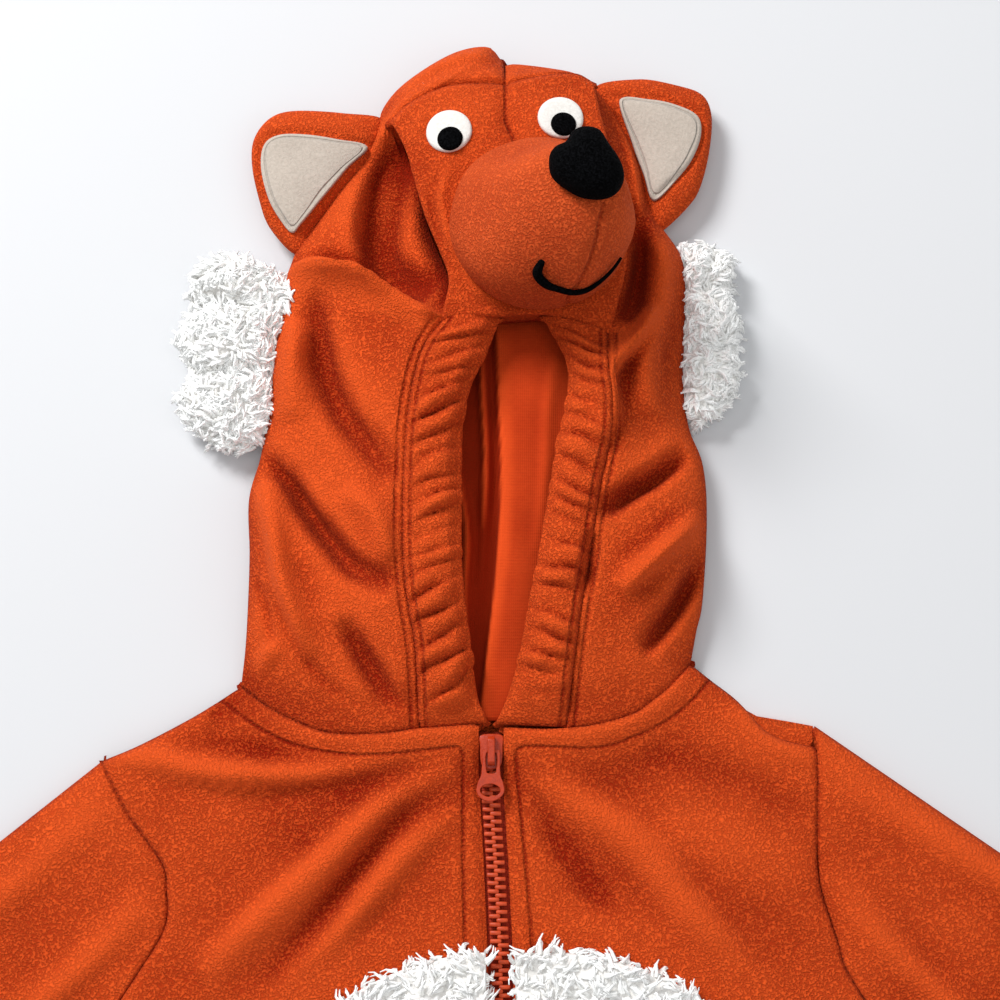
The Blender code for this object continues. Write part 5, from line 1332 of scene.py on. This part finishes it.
nose = {
    "outline": ((28.1, 197.7), (33.3, 196.6), (36.6, 191.6), (40.5, 185.2), (41.5, 179.6), (39.1, 174.8),
                (34.4, 172.5), (27.9, 172.9), (22.7, 175.5), (17.4, 180.3), (16.4, 186.7), (18.1, 190.2),
                (21.8, 192.2), (24.2, 195.9)),
    "middle": (29.0, 184.0), "foot": 78.4, "edge": 1.2, "rise": 9.6, "clumps": 0.15, "fill": 0.9,
}
eyes = {
    "middles": {"right": (-18.4, 216.3), "left": (21.9, 221.5)}, "radius": 8.3, "wall": 1.6, "lift": 0.35,
    "pupilShift": {"right": (0.4, -3.6), "left": (1.0, -3.2)}, "pupil": 4.6, "pupilWall": 1.3,
    "flat": (0.0166, 0.0166), "area": 0.00022,
}


def ellipse(middle, half, count=28):
    angle = np.arange(count) / count * math.tau
    return np.stack([middle[0] + half[0] * np.cos(angle), middle[1] + half[1] * np.sin(angle)], -1)


def circleLine(middle, radius):
    return Line(ellipse(middle, (radius, radius)), closed=True)


def buildNose():
    def top(xy, share):
        rise = nose["rise"] * np.power(np.maximum(1 - share ** 2.6, 0), 1 / 2.2)
        rise = rise + nose["clumps"] * softNoise(xy, 3.4, 61) * (1 - share ** 6)
        return nose["foot"] + nose["edge"] + rise

    def under(xy, share):
        return nose["foot"] + nose["edge"] * share ** 4

    outline = Line(nose["outline"], closed=True)
    piece = padForm("noseBall", outline, nose["middle"], 96, 28, top, under, "black")
    ride(piece, "black_plush", "nose")


def buildEye(side):
    x, y = eyes["middles"][side]
    shift = eyes["pupilShift"][side]
    pupil = (x + shift[0], y + shift[1])

    def disc(lift, wall, power):
        def top(xy, share):
            rise = wall * np.power(np.maximum(1 - share ** power, 0), 1 / 2.4)
            return faceHeight(xy[..., 0], xy[..., 1]) + lift + rise

        def under(xy, share):
            return faceHeight(xy[..., 0], xy[..., 1]) + lift - 0.3
        return top, under

    white = padForm(f"eye.{side}", circleLine((x, y), eyes["radius"]), (x, y), 80, 14,
                    *disc(eyes["lift"], eyes["wall"], 9.0), "eyeFelt")
    sheet(white, "felt", f"eye_{side}", eyes)
    black = padForm(f"pupil.{side}", circleLine(pupil, eyes["pupil"]), pupil, 56, 10,
                    *disc(eyes["lift"] + eyes["wall"], eyes["pupilWall"], 6.0), "black")
    ride(black, "black_plush", f"pupil_{side}")


ear = {
    "outline": {
        "right": ((-46.6, 231), (-59.4, 232.9), (-77, 233.6), (-86, 230.6), (-91.6, 222.7), (-92.3, 213),
                  (-89.7, 200.4), (-85, 186.9), (-77.7, 178.6), (-70.7, 188.2), (-60.7, 203.4),
                  (-51.1, 216.6)),
        "left": ((38.2, 243.6), (52.1, 246.4), (67, 243.6), (75.5, 240.2), (78.8, 233.7), (78.8, 223.9),
                 (76.3, 210.2), (71.7, 198.5), (61.6, 187.2), (56.9, 198.6), (53.9, 211.6), (46.9, 227.1)),
    },
    "middle": {"right": (-76, 213), "left": (65, 220)},
    "felt": {
        "right": ((-49, 218), (-60, 220.2), (-72, 222), (-82, 221.8), (-87.4, 218), (-88.2, 209), (-85, 197),
                  (-80, 188.4), (-76.2, 184.6), (-72.5, 188), (-65, 198), (-56.5, 209)),
        "left": ((44.5, 236), (56, 236), (66, 233.6), (73.4, 229.4), (74.4, 222), (70.6, 212), (64, 203.4),
                 (58.5, 197.6), (55.4, 198), (53, 207), (49, 219)),
    },
    "feltMiddle": {"right": (-73, 207), "left": (63, 219)},
    "foot": 7.6, "rise": 6.6, "under": 3.6, "power": 3.4, "feltWall": 1.1, "stitchInside": 1.8,
    "dent": 1.4, "fill": 0.55, "tuck": 3.6,
    "flat": {"right": (0.041, 0.038), "left": (0.031, 0.039)}, "area": {"right": 0.0009, "left": 0.0007},
}
earLines = {side: Line(rows, closed=True) for side, rows in ear["outline"].items()}
feltLines = {side: Line(rows, closed=True) for side, rows in ear["felt"].items()}


def feltDent(share):
    # the ear is drawn in along the felt's stitched edge
    return ear["dent"] * np.exp(-(np.abs(share - 1.05) / 0.10) ** 2)


def earHeight(side, xy, share):
    top = ear["foot"] + ear["rise"] * np.power(np.maximum(1 - np.minimum(share, 1) ** ear["power"], 0), 0.42)
    dent = feltDent(radialShare(feltLines[side], ear["feltMiddle"][side], xy))
    return top + 0.35 * softNoise(xy, 20.0, 71) * (1 - share ** 3) - dent * (share < 0.97)


def tuck(side, xy):
    # how far a point moves, so that the side nearest the hood goes on under its rolled edge
    outside = -sides[side] * lines["hood"][side].nearest(xy)[0]
    toHood = np.array((-sides[side], -0.35)) / math.hypot(1, 0.35)
    return toHood * (ear["tuck"] * smoothStep(1.0 - outside / 18.0))[..., None]


def tuckIn(piece, side):
    places = placesOf(piece)
    places[:, :2] += tuck(side, places[:, :2])
    piece.data.vertices.foreach_set("co", toMetres(places).ravel())


def buildEar(side):
    middle, feltMiddle = ear["middle"][side], ear["feltMiddle"][side]

    def top(xy, share):
        return earHeight(side, xy, share)

    def under(xy, share):
        return ear["foot"] - ear["under"] * (1 - share ** 3)

    piece = padForm(f"ear.{side}", earLines[side], middle, 120, 28, top, under, "fleece")
    tuckIn(piece, side)
    ride(piece, "fleece", f"ear_{side}")

    def feltBase(xy):
        xy = xy - tuck(side, xy)
        return earHeight(side, xy, radialShare(earLines[side], middle, xy))

    def feltTop(xy, share):
        rise = ear["feltWall"] * np.power(np.maximum(1 - share ** 16, 0), 0.5)
        return feltBase(xy) + 0.9 * feltDent(share) + 0.2 + rise

    def feltUnder(xy, share):
        return feltBase(xy) - 0.4

    patch = padForm(f"earFelt.{side}", feltLines[side], feltMiddle, 110, 20, feltTop, feltUnder, "earFelt",
                    stitchInside=ear["stitchInside"])
    sheet(patch, "felt", f"ear_felt_{side}", ear, side)


# sherpa: locks of curled strands, set over padded cloth
fur = {
    "strandSides": 3, "strandSteps": 3,
    # size and bend of one strand, in millimetres
    "length": 5.0, "root": 0.80, "tip": 0.26, "curl": 0.65, "bend": 1.9, "spread": 0.75,
    "swirl": 95.0,         # turns of the flow per metre
    "turning": 17.0,       # how far the flow turns the locks, in radians
    "stray": (0.35, 0.35, 0.7), "sizes": (0.7, 1.25), "densest": 4.0e6,
    "cheekStrands": 4, "bellyStrands": 3, "variants": 6,
    "seed": {"cheek.right": 7, "cheek.left": 17, "belly.right": 27, "belly.left": 37},
    "cheekSpacing": 1.42, "bellySpacing": 2.36, "bellySize": 1.18, "cheekTilt": 0.75, "bellyTilt": 0.8,
}


def makeLock(name, strands, seed, size=1.0):
    rng = np.random.default_rng(seed)
    steps, around = fur["strandSteps"], fur["strandSides"]
    points, faces, tips = [], [], []
    for _ in range(strands):
        turn, start, phase = rng.uniform(0, math.tau), rng.uniform(0, math.tau), rng.uniform(0, math.tau)
        length = fur["length"] * rng.uniform(0.75, 1.15) * size
        share = np.linspace(0, 1, steps + 1)
        away = fur["spread"] * (1 - 0.45 * share)
        curl = fur["curl"] * share
        x = np.cos(start) * away + fur["bend"] * share ** 2 + curl * np.cos(phase + share * 5.5)
        y = np.sin(start) * away + curl * np.sin(phase + share * 5.5)
        z = length * (share - 0.16 * share ** 2)
        radius = fur["root"] + (fur["tip"] - fur["root"]) * share ** 0.8
        angle = turn + np.arange(around) / around * math.tau
        first = len(points)
        for k in range(steps + 1):
            for a in angle:
                points.append((x[k] + radius[k] * math.cos(a), y[k] + radius[k] * math.sin(a), z[k]))
                tips.append(share[k])
        faces += [tuple(first + index for index in face) for face in gridFaces(steps + 1, around, True)]
        last = first + steps * around
        faces.append(tuple(range(last, last + around)))
    mesh = newMesh(name, np.array(points) * units["scale"], faces)
    mesh.shade_smooth()
    lock = bpy.data.objects.new(name, mesh)
    addValue(lock, "tip", tips)
    turnOut(lock)
    return lock


class Recipe(Nodes):
    # a Geometry Nodes group with named inputs
    def __init__(self, name, values):
        self.tree = bpy.data.node_groups.new(name, "GeometryNodeTree")
        add = self.tree.interface.new_socket
        add("Geometry", in_out="OUTPUT", socket_type="NodeSocketGeometry")
        add("Geometry", in_out="INPUT", socket_type="NodeSocketGeometry")
        self.sockets = {key: add(key, in_out="INPUT", socket_type="NodeSocketFloat") for key in values}
        self.values = values
        self.start = self.tree.nodes.new("NodeGroupInput")
        self.end = self.tree.nodes.new("NodeGroupOutput")

    def input(self, name):
        return Wire(self, self.start.outputs[name])

    def bake(self, name, ground, geometry, finish):
        # the finished recipe, made into a plain mesh of its own
        realized = self.node("GeometryNodeRealizeInstances", None, {0: geometry})
        coated = {"Geometry": realized, "Material": finishes[finish]}
        coated = self.node("GeometryNodeSetMaterial", None, coated)
        self.tree.links.new(coated.socket, self.end.inputs[0])
        live = ground.modifiers.new(name, "NODES")
        live.node_group = self.tree
        for key, value in self.values.items():
            live[self.sockets[key].identifier] = value
        mesh = finishedMesh(ground)
        ground.modifiers.remove(live)
        mesh.name = name
        return settle(addObject(name, mesh))


def lockCollection(name, strands, size=1.0):
    kept = bpy.data.collections.new(name)
    for seed in range(fur["variants"]):
        kept.objects.link(makeLock(f"{name}{seed}", strands, 100 + seed, size))
    return kept


def growFur(name, ground, locks, spacing, tilt):
    seed = fur["seed"][ground.name]
    recipe = Recipe(f"{name}Recipe", {"Spacing": spacing * units["scale"], "Tilt": tilt})
    spots = recipe.node("GeometryNodeDistributePointsOnFaces", {"distribute_method": "POISSON"},
                        {"Mesh": recipe.input("Geometry"), "Distance Min": recipe.input("Spacing"),
                         "Density Max": fur["densest"], "Density Factor": 1.0, "Seed": seed})
    upright = Wire(recipe, recipe.made.outputs["Rotation"])
    # neighbours lean the same way, in swirls
    here = recipe.node("GeometryNodeInputPosition")
    flow = recipe.node("ShaderNodeTexNoise", None, {"Vector": here, "Scale": fur["swirl"], "Detail": 1.0})
    flow = recipe.node("ShaderNodeMath", {"operation": "MULTIPLY_ADD"},
                       {0: flow, 1: fur["turning"], 2: -fur["turning"] / 2})
    lean = recipe.node("ShaderNodeCombineXYZ", None, {1: recipe.input("Tilt"), 2: flow})
    stray = recipe.node("FunctionNodeRandomValue", {"data_type": "FLOAT_VECTOR"},
                        {0: [-turn for turn in fur["stray"]], 1: fur["stray"], "Seed": seed + 1})
    lean = recipe.vector("ADD", lean, stray)
    turned = recipe.node("FunctionNodeRotateRotation", {"rotation_space": "LOCAL"}, {0: upright, 1: lean})
    size = recipe.node("FunctionNodeRandomValue", {"data_type": "FLOAT"},
                       {2: fur["sizes"][0], 3: fur["sizes"][1], "Seed": seed + 3}, output=1)
    chosen = recipe.node("FunctionNodeRandomValue", {"data_type": "INT"},
                         {4: 0, 5: fur["variants"] - 1, "Seed": seed + 4}, output=2)
    source = recipe.node("GeometryNodeCollectionInfo", None,
                         {"Collection": locks, "Separate Children": True, "Reset Children": True})
    grown = recipe.node("GeometryNodeInstanceOnPoints", None,
                        {"Points": spots, "Instance": source, "Pick Instance": True, "Instance Index": chosen,
                         "Rotation": turned, "Scale": size})
    shade = recipe.node("FunctionNodeRandomValue", {"data_type": "FLOAT"},
                        {2: 0.0, 3: 1.0, "Seed": seed + 5}, output=1)
    marked = recipe.node("GeometryNodeStoreNamedAttribute", {"data_type": "FLOAT", "domain": "INSTANCE"},
                         {"Geometry": grown, "Name": "lock", "Value": shade})
    return recipe.bake(name, ground, marked, "fur")


def trimStrands(piece, unwanted):
    # takes out every strand that has an unwanted point
    perStrand = (fur["strandSteps"] + 1) * fur["strandSides"]
    lost = np.repeat(unwanted.reshape(-1, perStrand).any(1), perStrand)

    def cut(bm):
        bm.verts.ensure_lookup_table()
        bmesh.ops.delete(bm, geom=[bm.verts[k] for k in np.flatnonzero(lost)], context="VERTS")
    editMesh(piece, cut)


cheek = {
    "outline": {
        "right": ((-107, 177), (-97, 178.4), (-86.8, 174), (-76.8, 168.5), (-75.6, 161), (-78.6, 152),
                  (-80.6, 139), (-81.6, 121), (-84.6, 106), (-93, 101.9), (-104, 104.2), (-113.4, 112),
                  (-116.4, 122), (-112.4, 131), (-117, 142.6), (-116.4, 151), (-112.6, 157), (-113.8, 167)),
        "left": ((68.7, 182.6), (78.6, 181.8), (84.4, 176), (83.4, 163), (87, 151), (85, 139.6), (86.2, 129),
                 (81.8, 119.6), (74.6, 113.4), (68.9, 113), (67.5, 129), (68.3, 145), (68.7, 161)),
    },
    "middle": {"right": (-97, 141), "left": (76, 147)},
    "foot": {"right": 6.0, "left": 4.0}, "slope": 2.2, "rise": 10.5, "fill": 0.6, "grow": 0.93,
    "trim": (1.5, 2.5),    # strands further inside the hood and below its top than this are cut
    # dents between the lobes: middle, reach, depth
    "dents": {"right": (((-113, 157), (30, 3.6), 8.0), ((-112, 131), (30, 3.6), 8.0)),
              "left": (((84, 164), (20, 3.4), 6.0), ((85, 141), (20, 3.4), 6.0))},
}


def buildCheek(side, locks):
    middle = np.array(cheek["middle"][side], float)
    outline = Line(middle + (np.array(cheek["outline"][side], float) - middle) * cheek["grow"], closed=True)

    def under(xy, share):
        inside = np.maximum(-lines["hood"][side].nearest(xy)[0], 0.0) if side == "right" else 0 * xy[..., 0]
        return cheek["foot"][side] + cheek["slope"] * inside

    def top(xy, share):
        rise = cheek["rise"] * np.sqrt(np.maximum(1 - 0.97 * share ** 3, 0))
        for (x, y), (acrossReach, alongReach), depth in cheek["dents"][side]:
            across, along = (xy[..., 0] - x) / acrossReach, (xy[..., 1] - y) / alongReach
            rise = rise - depth * np.exp(-across ** 2 - along ** 2)
        return under(xy, share) + np.maximum(rise + 0.7 * softNoise(xy, 9.0, 81), 1.5)

    ground = padForm(f"cheek.{side}", outline, middle, 110, 22, top, under, "furGround")
    locksOn = growFur(f"cheekFur.{side}", ground, locks, fur["cheekSpacing"], fur["cheekTilt"])
    places = placesOf(locksOn)
    inside = sides[side] * lines["hood"][side].nearest(places[:, :2])[0]
    hoodTop = roundDown(hood["height"], np.maximum(inside, 0.0), hood["roll"])
    within, below = cheek["trim"]
    trimStrands(locksOn, (inside > within) & (places[:, 2] < hoodTop - below))
    ride(ground, "sherpa", f"cheek_{side}")
    ride(locksOn, "sherpa")


def buildBelly(side, locks):
    sign = sides[side]
    middle, half = belly["middle"], belly["half"]
    y = middle[1] + (half[1] - 0.6) * np.cos(np.linspace(0, np.pi, 84))
    dropShare = np.minimum(np.abs((y - middle[1]) / half[1]), 1.0)
    low = zipX(y) + sign * (seams["zipGap"] + 0.6)
    high = middle[0] + sign * half[0] * (1 - dropShare ** belly["power"]) ** (1 / belly["power"])
    high = np.where(sign * (high - low) > 5, high, low + sign * 5)
    share = spread(100.0, 3.0, (0.6, 1.6, 3.0, 5.0))
    x = low[:, None] + (high - low)[:, None] * share
    xy = np.stack([x, y[:, None] + 0 * x], -1)
    base = frontHeight(side, xy, False) + 0.4
    ends = roll(half[1] - np.abs(xy[..., 1] - middle[1]) + 0.8, 9)
    near = roll(np.abs(x - high[:, None]) + 0.8, 8) * roll(np.abs(x - low[:, None]) + 0.6, 4) * ends
    z = base + 0.4 + (belly["rise"] + 0.8 * softNoise(xy, 13.0, 91)) * near
    down = ((0.0, 0.5), (0.0, 1.0))
    ground = clothPiece(f"belly.{side}", np.dstack([xy, z]), "furGround", 1.0, relief=np.zeros(x.shape),
                        borders=(("left", down), ("right", down)))
    ground.modifiers.clear()
    locksOn = growFur(f"bellyFur.{side}", ground, locks, fur["bellySpacing"], fur["bellyTilt"])
    giveWall(ground, 1.0)
    sheet(ground, "sherpa", f"belly_{side}", belly)
    ride(locksOn, "sherpa")


# zip: woven tapes, moulded teeth, slider and pull tab
zipper = {
    "tapeHalf": 12.0, "tapeTop": 6.5, "tapeWall": 0.8,
    "pitch": 2.8, "toothReach": 3.25, "toothOver": 0.75, "toothLong": 1.55, "toothFoot": 6.7, "toothTop": 9.1,
    "flat": (0.013, 0.392), "area": 0.0049,
    "plate": ((-3.6, 0.6), (3.6, 0.6), (4.0, -3.0), (3.0, -10.4), (-3.0, -10.4), (-4.0, -3.0)),
    "plateFoot": 9.65, "plateWall": 1.4,
    "bridgeOuter": ((0.0, 0.9), (0.0, 3.5), (-1.2, 4.7), (-9.0, 4.7), (-10.0, 3.7), (-10.2, 0.9)),
    "bridgeInner": ((-1.8, 0.9), (-1.8, 2.9), (-2.4, 3.5), (-7.9, 3.5), (-8.6, 2.9), (-8.6, 0.9)),
    "bridgeHalf": 1.25,
    "tab": ((-4.7, 2.2), (-5.3, 3.0), (-9, 3.1), (-13.4, 3.4), (-16, 4.4), (-18.8, 4.9), (-20.6, 4.1),
            (-21.8, 2.6), (-22.4, 0.9)),
    "tabLean": -0.024, "hinge": (-5.3, 12.2),
    "tabWall": (0.34, 0.26),       # half of the flat part, and the round of the edge
    "sliderRound": 0.32, "toothRound": 0.28, "firstTooth": -11.0,
    "slot": ((-1.7, -5.9), (1.7, -5.9), (1.7, -11.8), (1.0, -12.8), (-1.0, -12.8), (-1.7, -11.8)),
    "hole": ((-0.35, -18.7), (3.5, 2.2)),
}


def buildTape(side):
    sign = sides[side]
    y = np.linspace(2.0, seams["zipEnd"] + 1.0, 150)
    across = np.array([0.3, 1.2, 2.4, 3.0, 3.6, 5.0, 8.0, zipper["tapeHalf"]])
    x = zipX(y)[:, None] + sign * across
    cord = 0.5 * np.exp(-((across - 2.6) / 0.8) ** 2)[None]
    grid = np.dstack([x, y[:, None] + 0 * x, zipper["tapeTop"] - 0.2 + cord + 0 * x])
    piece = clothPiece(f"zipTape.{side}", grid, "tape", zipper["tapeWall"], relief=np.zeros(x.shape))
    sheet(piece, "zip_tape", f"zip_tape_{side}", zipper)


def bevel(piece, width, segments):
    rounded = piece.modifiers.new("round", "BEVEL")
    rounded.width, rounded.segments, rounded.limit_method = width * units["scale"], segments, "ANGLE"
    return piece


def prism(outline, foot, top):
    count = len(outline)
    points = [(x, y, z) for z in (foot, top) for x, y in outline]
    faces = [[k, (k + 1) % count, (k + 1) % count + count, k + count] for k in range(count)]
    return points, faces + [list(range(count))[::-1], list(range(count, 2 * count))]


def buildTeeth():
    # both rows are one mesh of instances on points along the zip
    spots, turn = [], []
    y = zipper["firstTooth"]
    while y > seams["zipEnd"] + 5:
        for sign, shift in ((-1, 0.0), (1, zipper["pitch"] / 2)):
            spots.append((float(zipX(y - shift)), y - shift, 0.0))
            turn.append(0.0 if sign > 0 else math.pi)
        y -= zipper["pitch"]
    guide = makeMesh("toothSpots", spots, [], finishes["teeth"])
    addValue(guide, "turn", turn)
    reach, over, half = zipper["toothReach"], zipper["toothOver"], zipper["toothLong"] / 2
    outline = ((-over, -half * 0.55), (-over * 0.2, -half), (reach, -half * 0.9), (reach, half * 0.9),
               (-over * 0.2, half), (-over, half * 0.55))
    points, faces = prism(outline, zipper["toothFoot"], zipper["toothTop"])
    tooth = addObject("tooth", newMesh("tooth", np.array(points) * units["scale"], faces, finishes["teeth"]))
    settle(bevel(tooth, zipper["toothRound"], 1))
    tooth.data.shade_smooth()
    recipe = Recipe("toothRecipe", {"Size": 1.0})
    source = recipe.node("GeometryNodeObjectInfo", None, {"Object": tooth}, output=4)
    spots = recipe.node("GeometryNodeMeshToPoints", None, {"Mesh": recipe.input("Geometry")})
    angle = recipe.node("GeometryNodeInputNamedAttribute", {"data_type": "FLOAT"}, {"Name": "turn"})
    facing = recipe.node("ShaderNodeCombineXYZ", None, {2: angle})
    rows = {"Points": spots, "Instance": source, "Rotation": facing, "Scale": recipe.input("Size")}
    rows = recipe.node("GeometryNodeInstanceOnPoints", None, rows)
    piece = recipe.bake("zipTeeth", guide, rows, "teeth")
    piece.data.shade_smooth()
    for spare in (guide, tooth):
        bpy.data.objects.remove(spare, do_unlink=True)
    ride(piece, "zip_plastic", "zip_chain")


def buildSlider():
    middle = float(zipX(zipper["hinge"][0]))
    plate = Line([(middle + x, y) for x, y in zipper["plate"]], closed=True, steps=5)
    half, foot = zipper["bridgeHalf"], zipper["plateFoot"]
    points, faces = prism([tuple(p) for p in plate.points[:-1, :2]], foot, foot + zipper["plateWall"])
    # the bridge is a second prism, laid on its side
    bridge, more = prism(zipper["bridgeOuter"] + zipper["bridgeInner"][::-1], -half, half)
    faces += [[len(points) + k for k in face] for face in more]
    points += [(middle + x, y, foot + z) for y, z, x in bridge]
    piece = bevel(makeMesh("zipSlider", points, faces, finishes["slider"]), zipper["sliderRound"], 2)
    editMesh(piece, lambda bm: bmesh.ops.recalc_face_normals(bm, faces=bm.faces))
    settle(piece)
    ride(piece, "zip_plastic", "zip_slider")


def buildPullTab():
    middle = float(zipX(zipper["hinge"][0]))
    hingeY, hingeZ = zipper["hinge"]
    right, left = [[(sign * half + zipper["tabLean"] * (hingeY - y), y) for y, half in zipper["tab"]]
                   for sign in (1, -1)]
    loops = [Line(right + left[::-1], closed=True, steps=5).points[:-1, :2],
             Line(zipper["slot"], closed=True, steps=4).points[:-1, :2],
             ellipse(*zipper["hole"])]
    curve = bpy.data.curves.new("zipPull", "CURVE")
    curve.dimensions, curve.fill_mode = "2D", "BOTH"
    wall, rounded = [size * units["scale"] for size in zipper["tabWall"]]
    curve.extrude, curve.bevel_depth, curve.offset, curve.bevel_resolution = wall, rounded, -rounded, 3
    for loop in loops:
        spline = curve.splines.new("POLY")
        spline.points.add(len(loop) - 1)
        spline.use_cyclic_u = True
        for point, (x, y) in zip(spline.points, loop):
            point.co = (*(toMetres((middle + x, y, 0))[:2]), 0.0, 1.0)
    holder = addObject("zipPullCurve", curve)
    mesh = finishedMesh(holder)
    bpy.data.objects.remove(holder, do_unlink=True)
    for vertex in mesh.vertices:
        vertex.co.z += hingeZ * units["scale"]
    mesh.materials.clear()
    mesh.materials.append(finishes["slider"])
    ride(addObject("zipPull", mesh), "zip_plastic", "zip_pull", body="pull_tab")


buildMuzzle()
buildNose()
for side in sides:
    buildEye(side)
    buildEar(side)
print("face parts made")
cheekLocks = lockCollection("cheekLock", fur["cheekStrands"])
bellyLocks = lockCollection("bellyLock", fur["bellyStrands"], fur["bellySize"])
for side in sides:
    buildCheek(side, cheekLocks)
    buildBelly(side, bellyLocks)
for locks in (cheekLocks, bellyLocks):
    for lock in list(locks.objects):
        bpy.data.meshes.remove(lock.data)
    bpy.data.collections.remove(locks)
print("fur made")
for side in sides:
    buildTape(side)
buildTeeth()
buildSlider()
buildPullTab()
print("zip made")


# floor, soft studio light and the camera at the photo's angle
stage = {
    "floorHalf": 2.4, "floorColour": (0.66, 0.67, 0.69, 1), "floorRoughness": 0.9, "world": 0.40,
    # name: place, aims at, power in watts, size in metres
    "lights": {
        "key": ((-0.85, 1.25, 1.15), (0.0, 0.15, 0.0), 30.0, 0.6),
        "fill": ((1.15, -0.35, 1.25), (0.0, 0.10, 0.0), 4.0, 1.4),
        "top": ((0.05, 0.2, 1.9), (0.0, 0.15, 0.0), 6.0, 1.2),
    },
    # what the camera looks at and how far off it is, in metres, and its tilt in degrees
    "target": (0.007, 0.30202, 0.0), "distance": 0.75, "tilt": 12.0, "lens": 74.376, "sensor": 36.0,
}


def buildStage():
    half = stage["floorHalf"]
    corners = [(-half, -half, 0), (half, -half, 0), (half, half, 0), (-half, half, 0)]
    floorFinish = bpy.data.materials.new("studioFloor")
    floorFinish.use_nodes = True
    shader = floorFinish.node_tree.nodes["Principled BSDF"]
    shader.inputs["Base Color"].default_value = stage["floorColour"]
    shader.inputs["Roughness"].default_value = stage["floorRoughness"]
    addObject("floor", newMesh("floor", corners, [(0, 1, 2, 3)], floorFinish))
    for name, (place, target, power, size) in stage["lights"].items():
        data = bpy.data.lights.new(name, "AREA")
        data.energy, data.size = power, size
        light = addObject(name, data)
        light.location = place
        light.rotation_euler = (Vector(target) - Vector(place)).to_track_quat("-Z", "Y").to_euler()
    world = bpy.context.scene.world or bpy.data.worlds.new("studio")
    bpy.context.scene.world = world
    world.use_nodes = True
    background = world.node_tree.nodes["Background"]
    background.inputs["Color"].default_value = (1.0, 1.0, 1.0, 1.0)
    background.inputs["Strength"].default_value = stage["world"]
    data = bpy.data.cameras.new("camera")
    data.lens, data.sensor_width = stage["lens"], stage["sensor"]
    camera = addObject("camera", data)
    tilt, (x, y, z), away = math.radians(stage["tilt"]), stage["target"], stage["distance"]
    camera.location = (x, y - away * math.sin(tilt), away * math.cos(tilt))
    camera.rotation_euler = (tilt, 0.0, 0.0)
    bpy.context.scene.camera = camera


buildStage()
view = bpy.context.scene.view_settings
view.view_transform, view.look = "Standard", "None"
print("stage made")
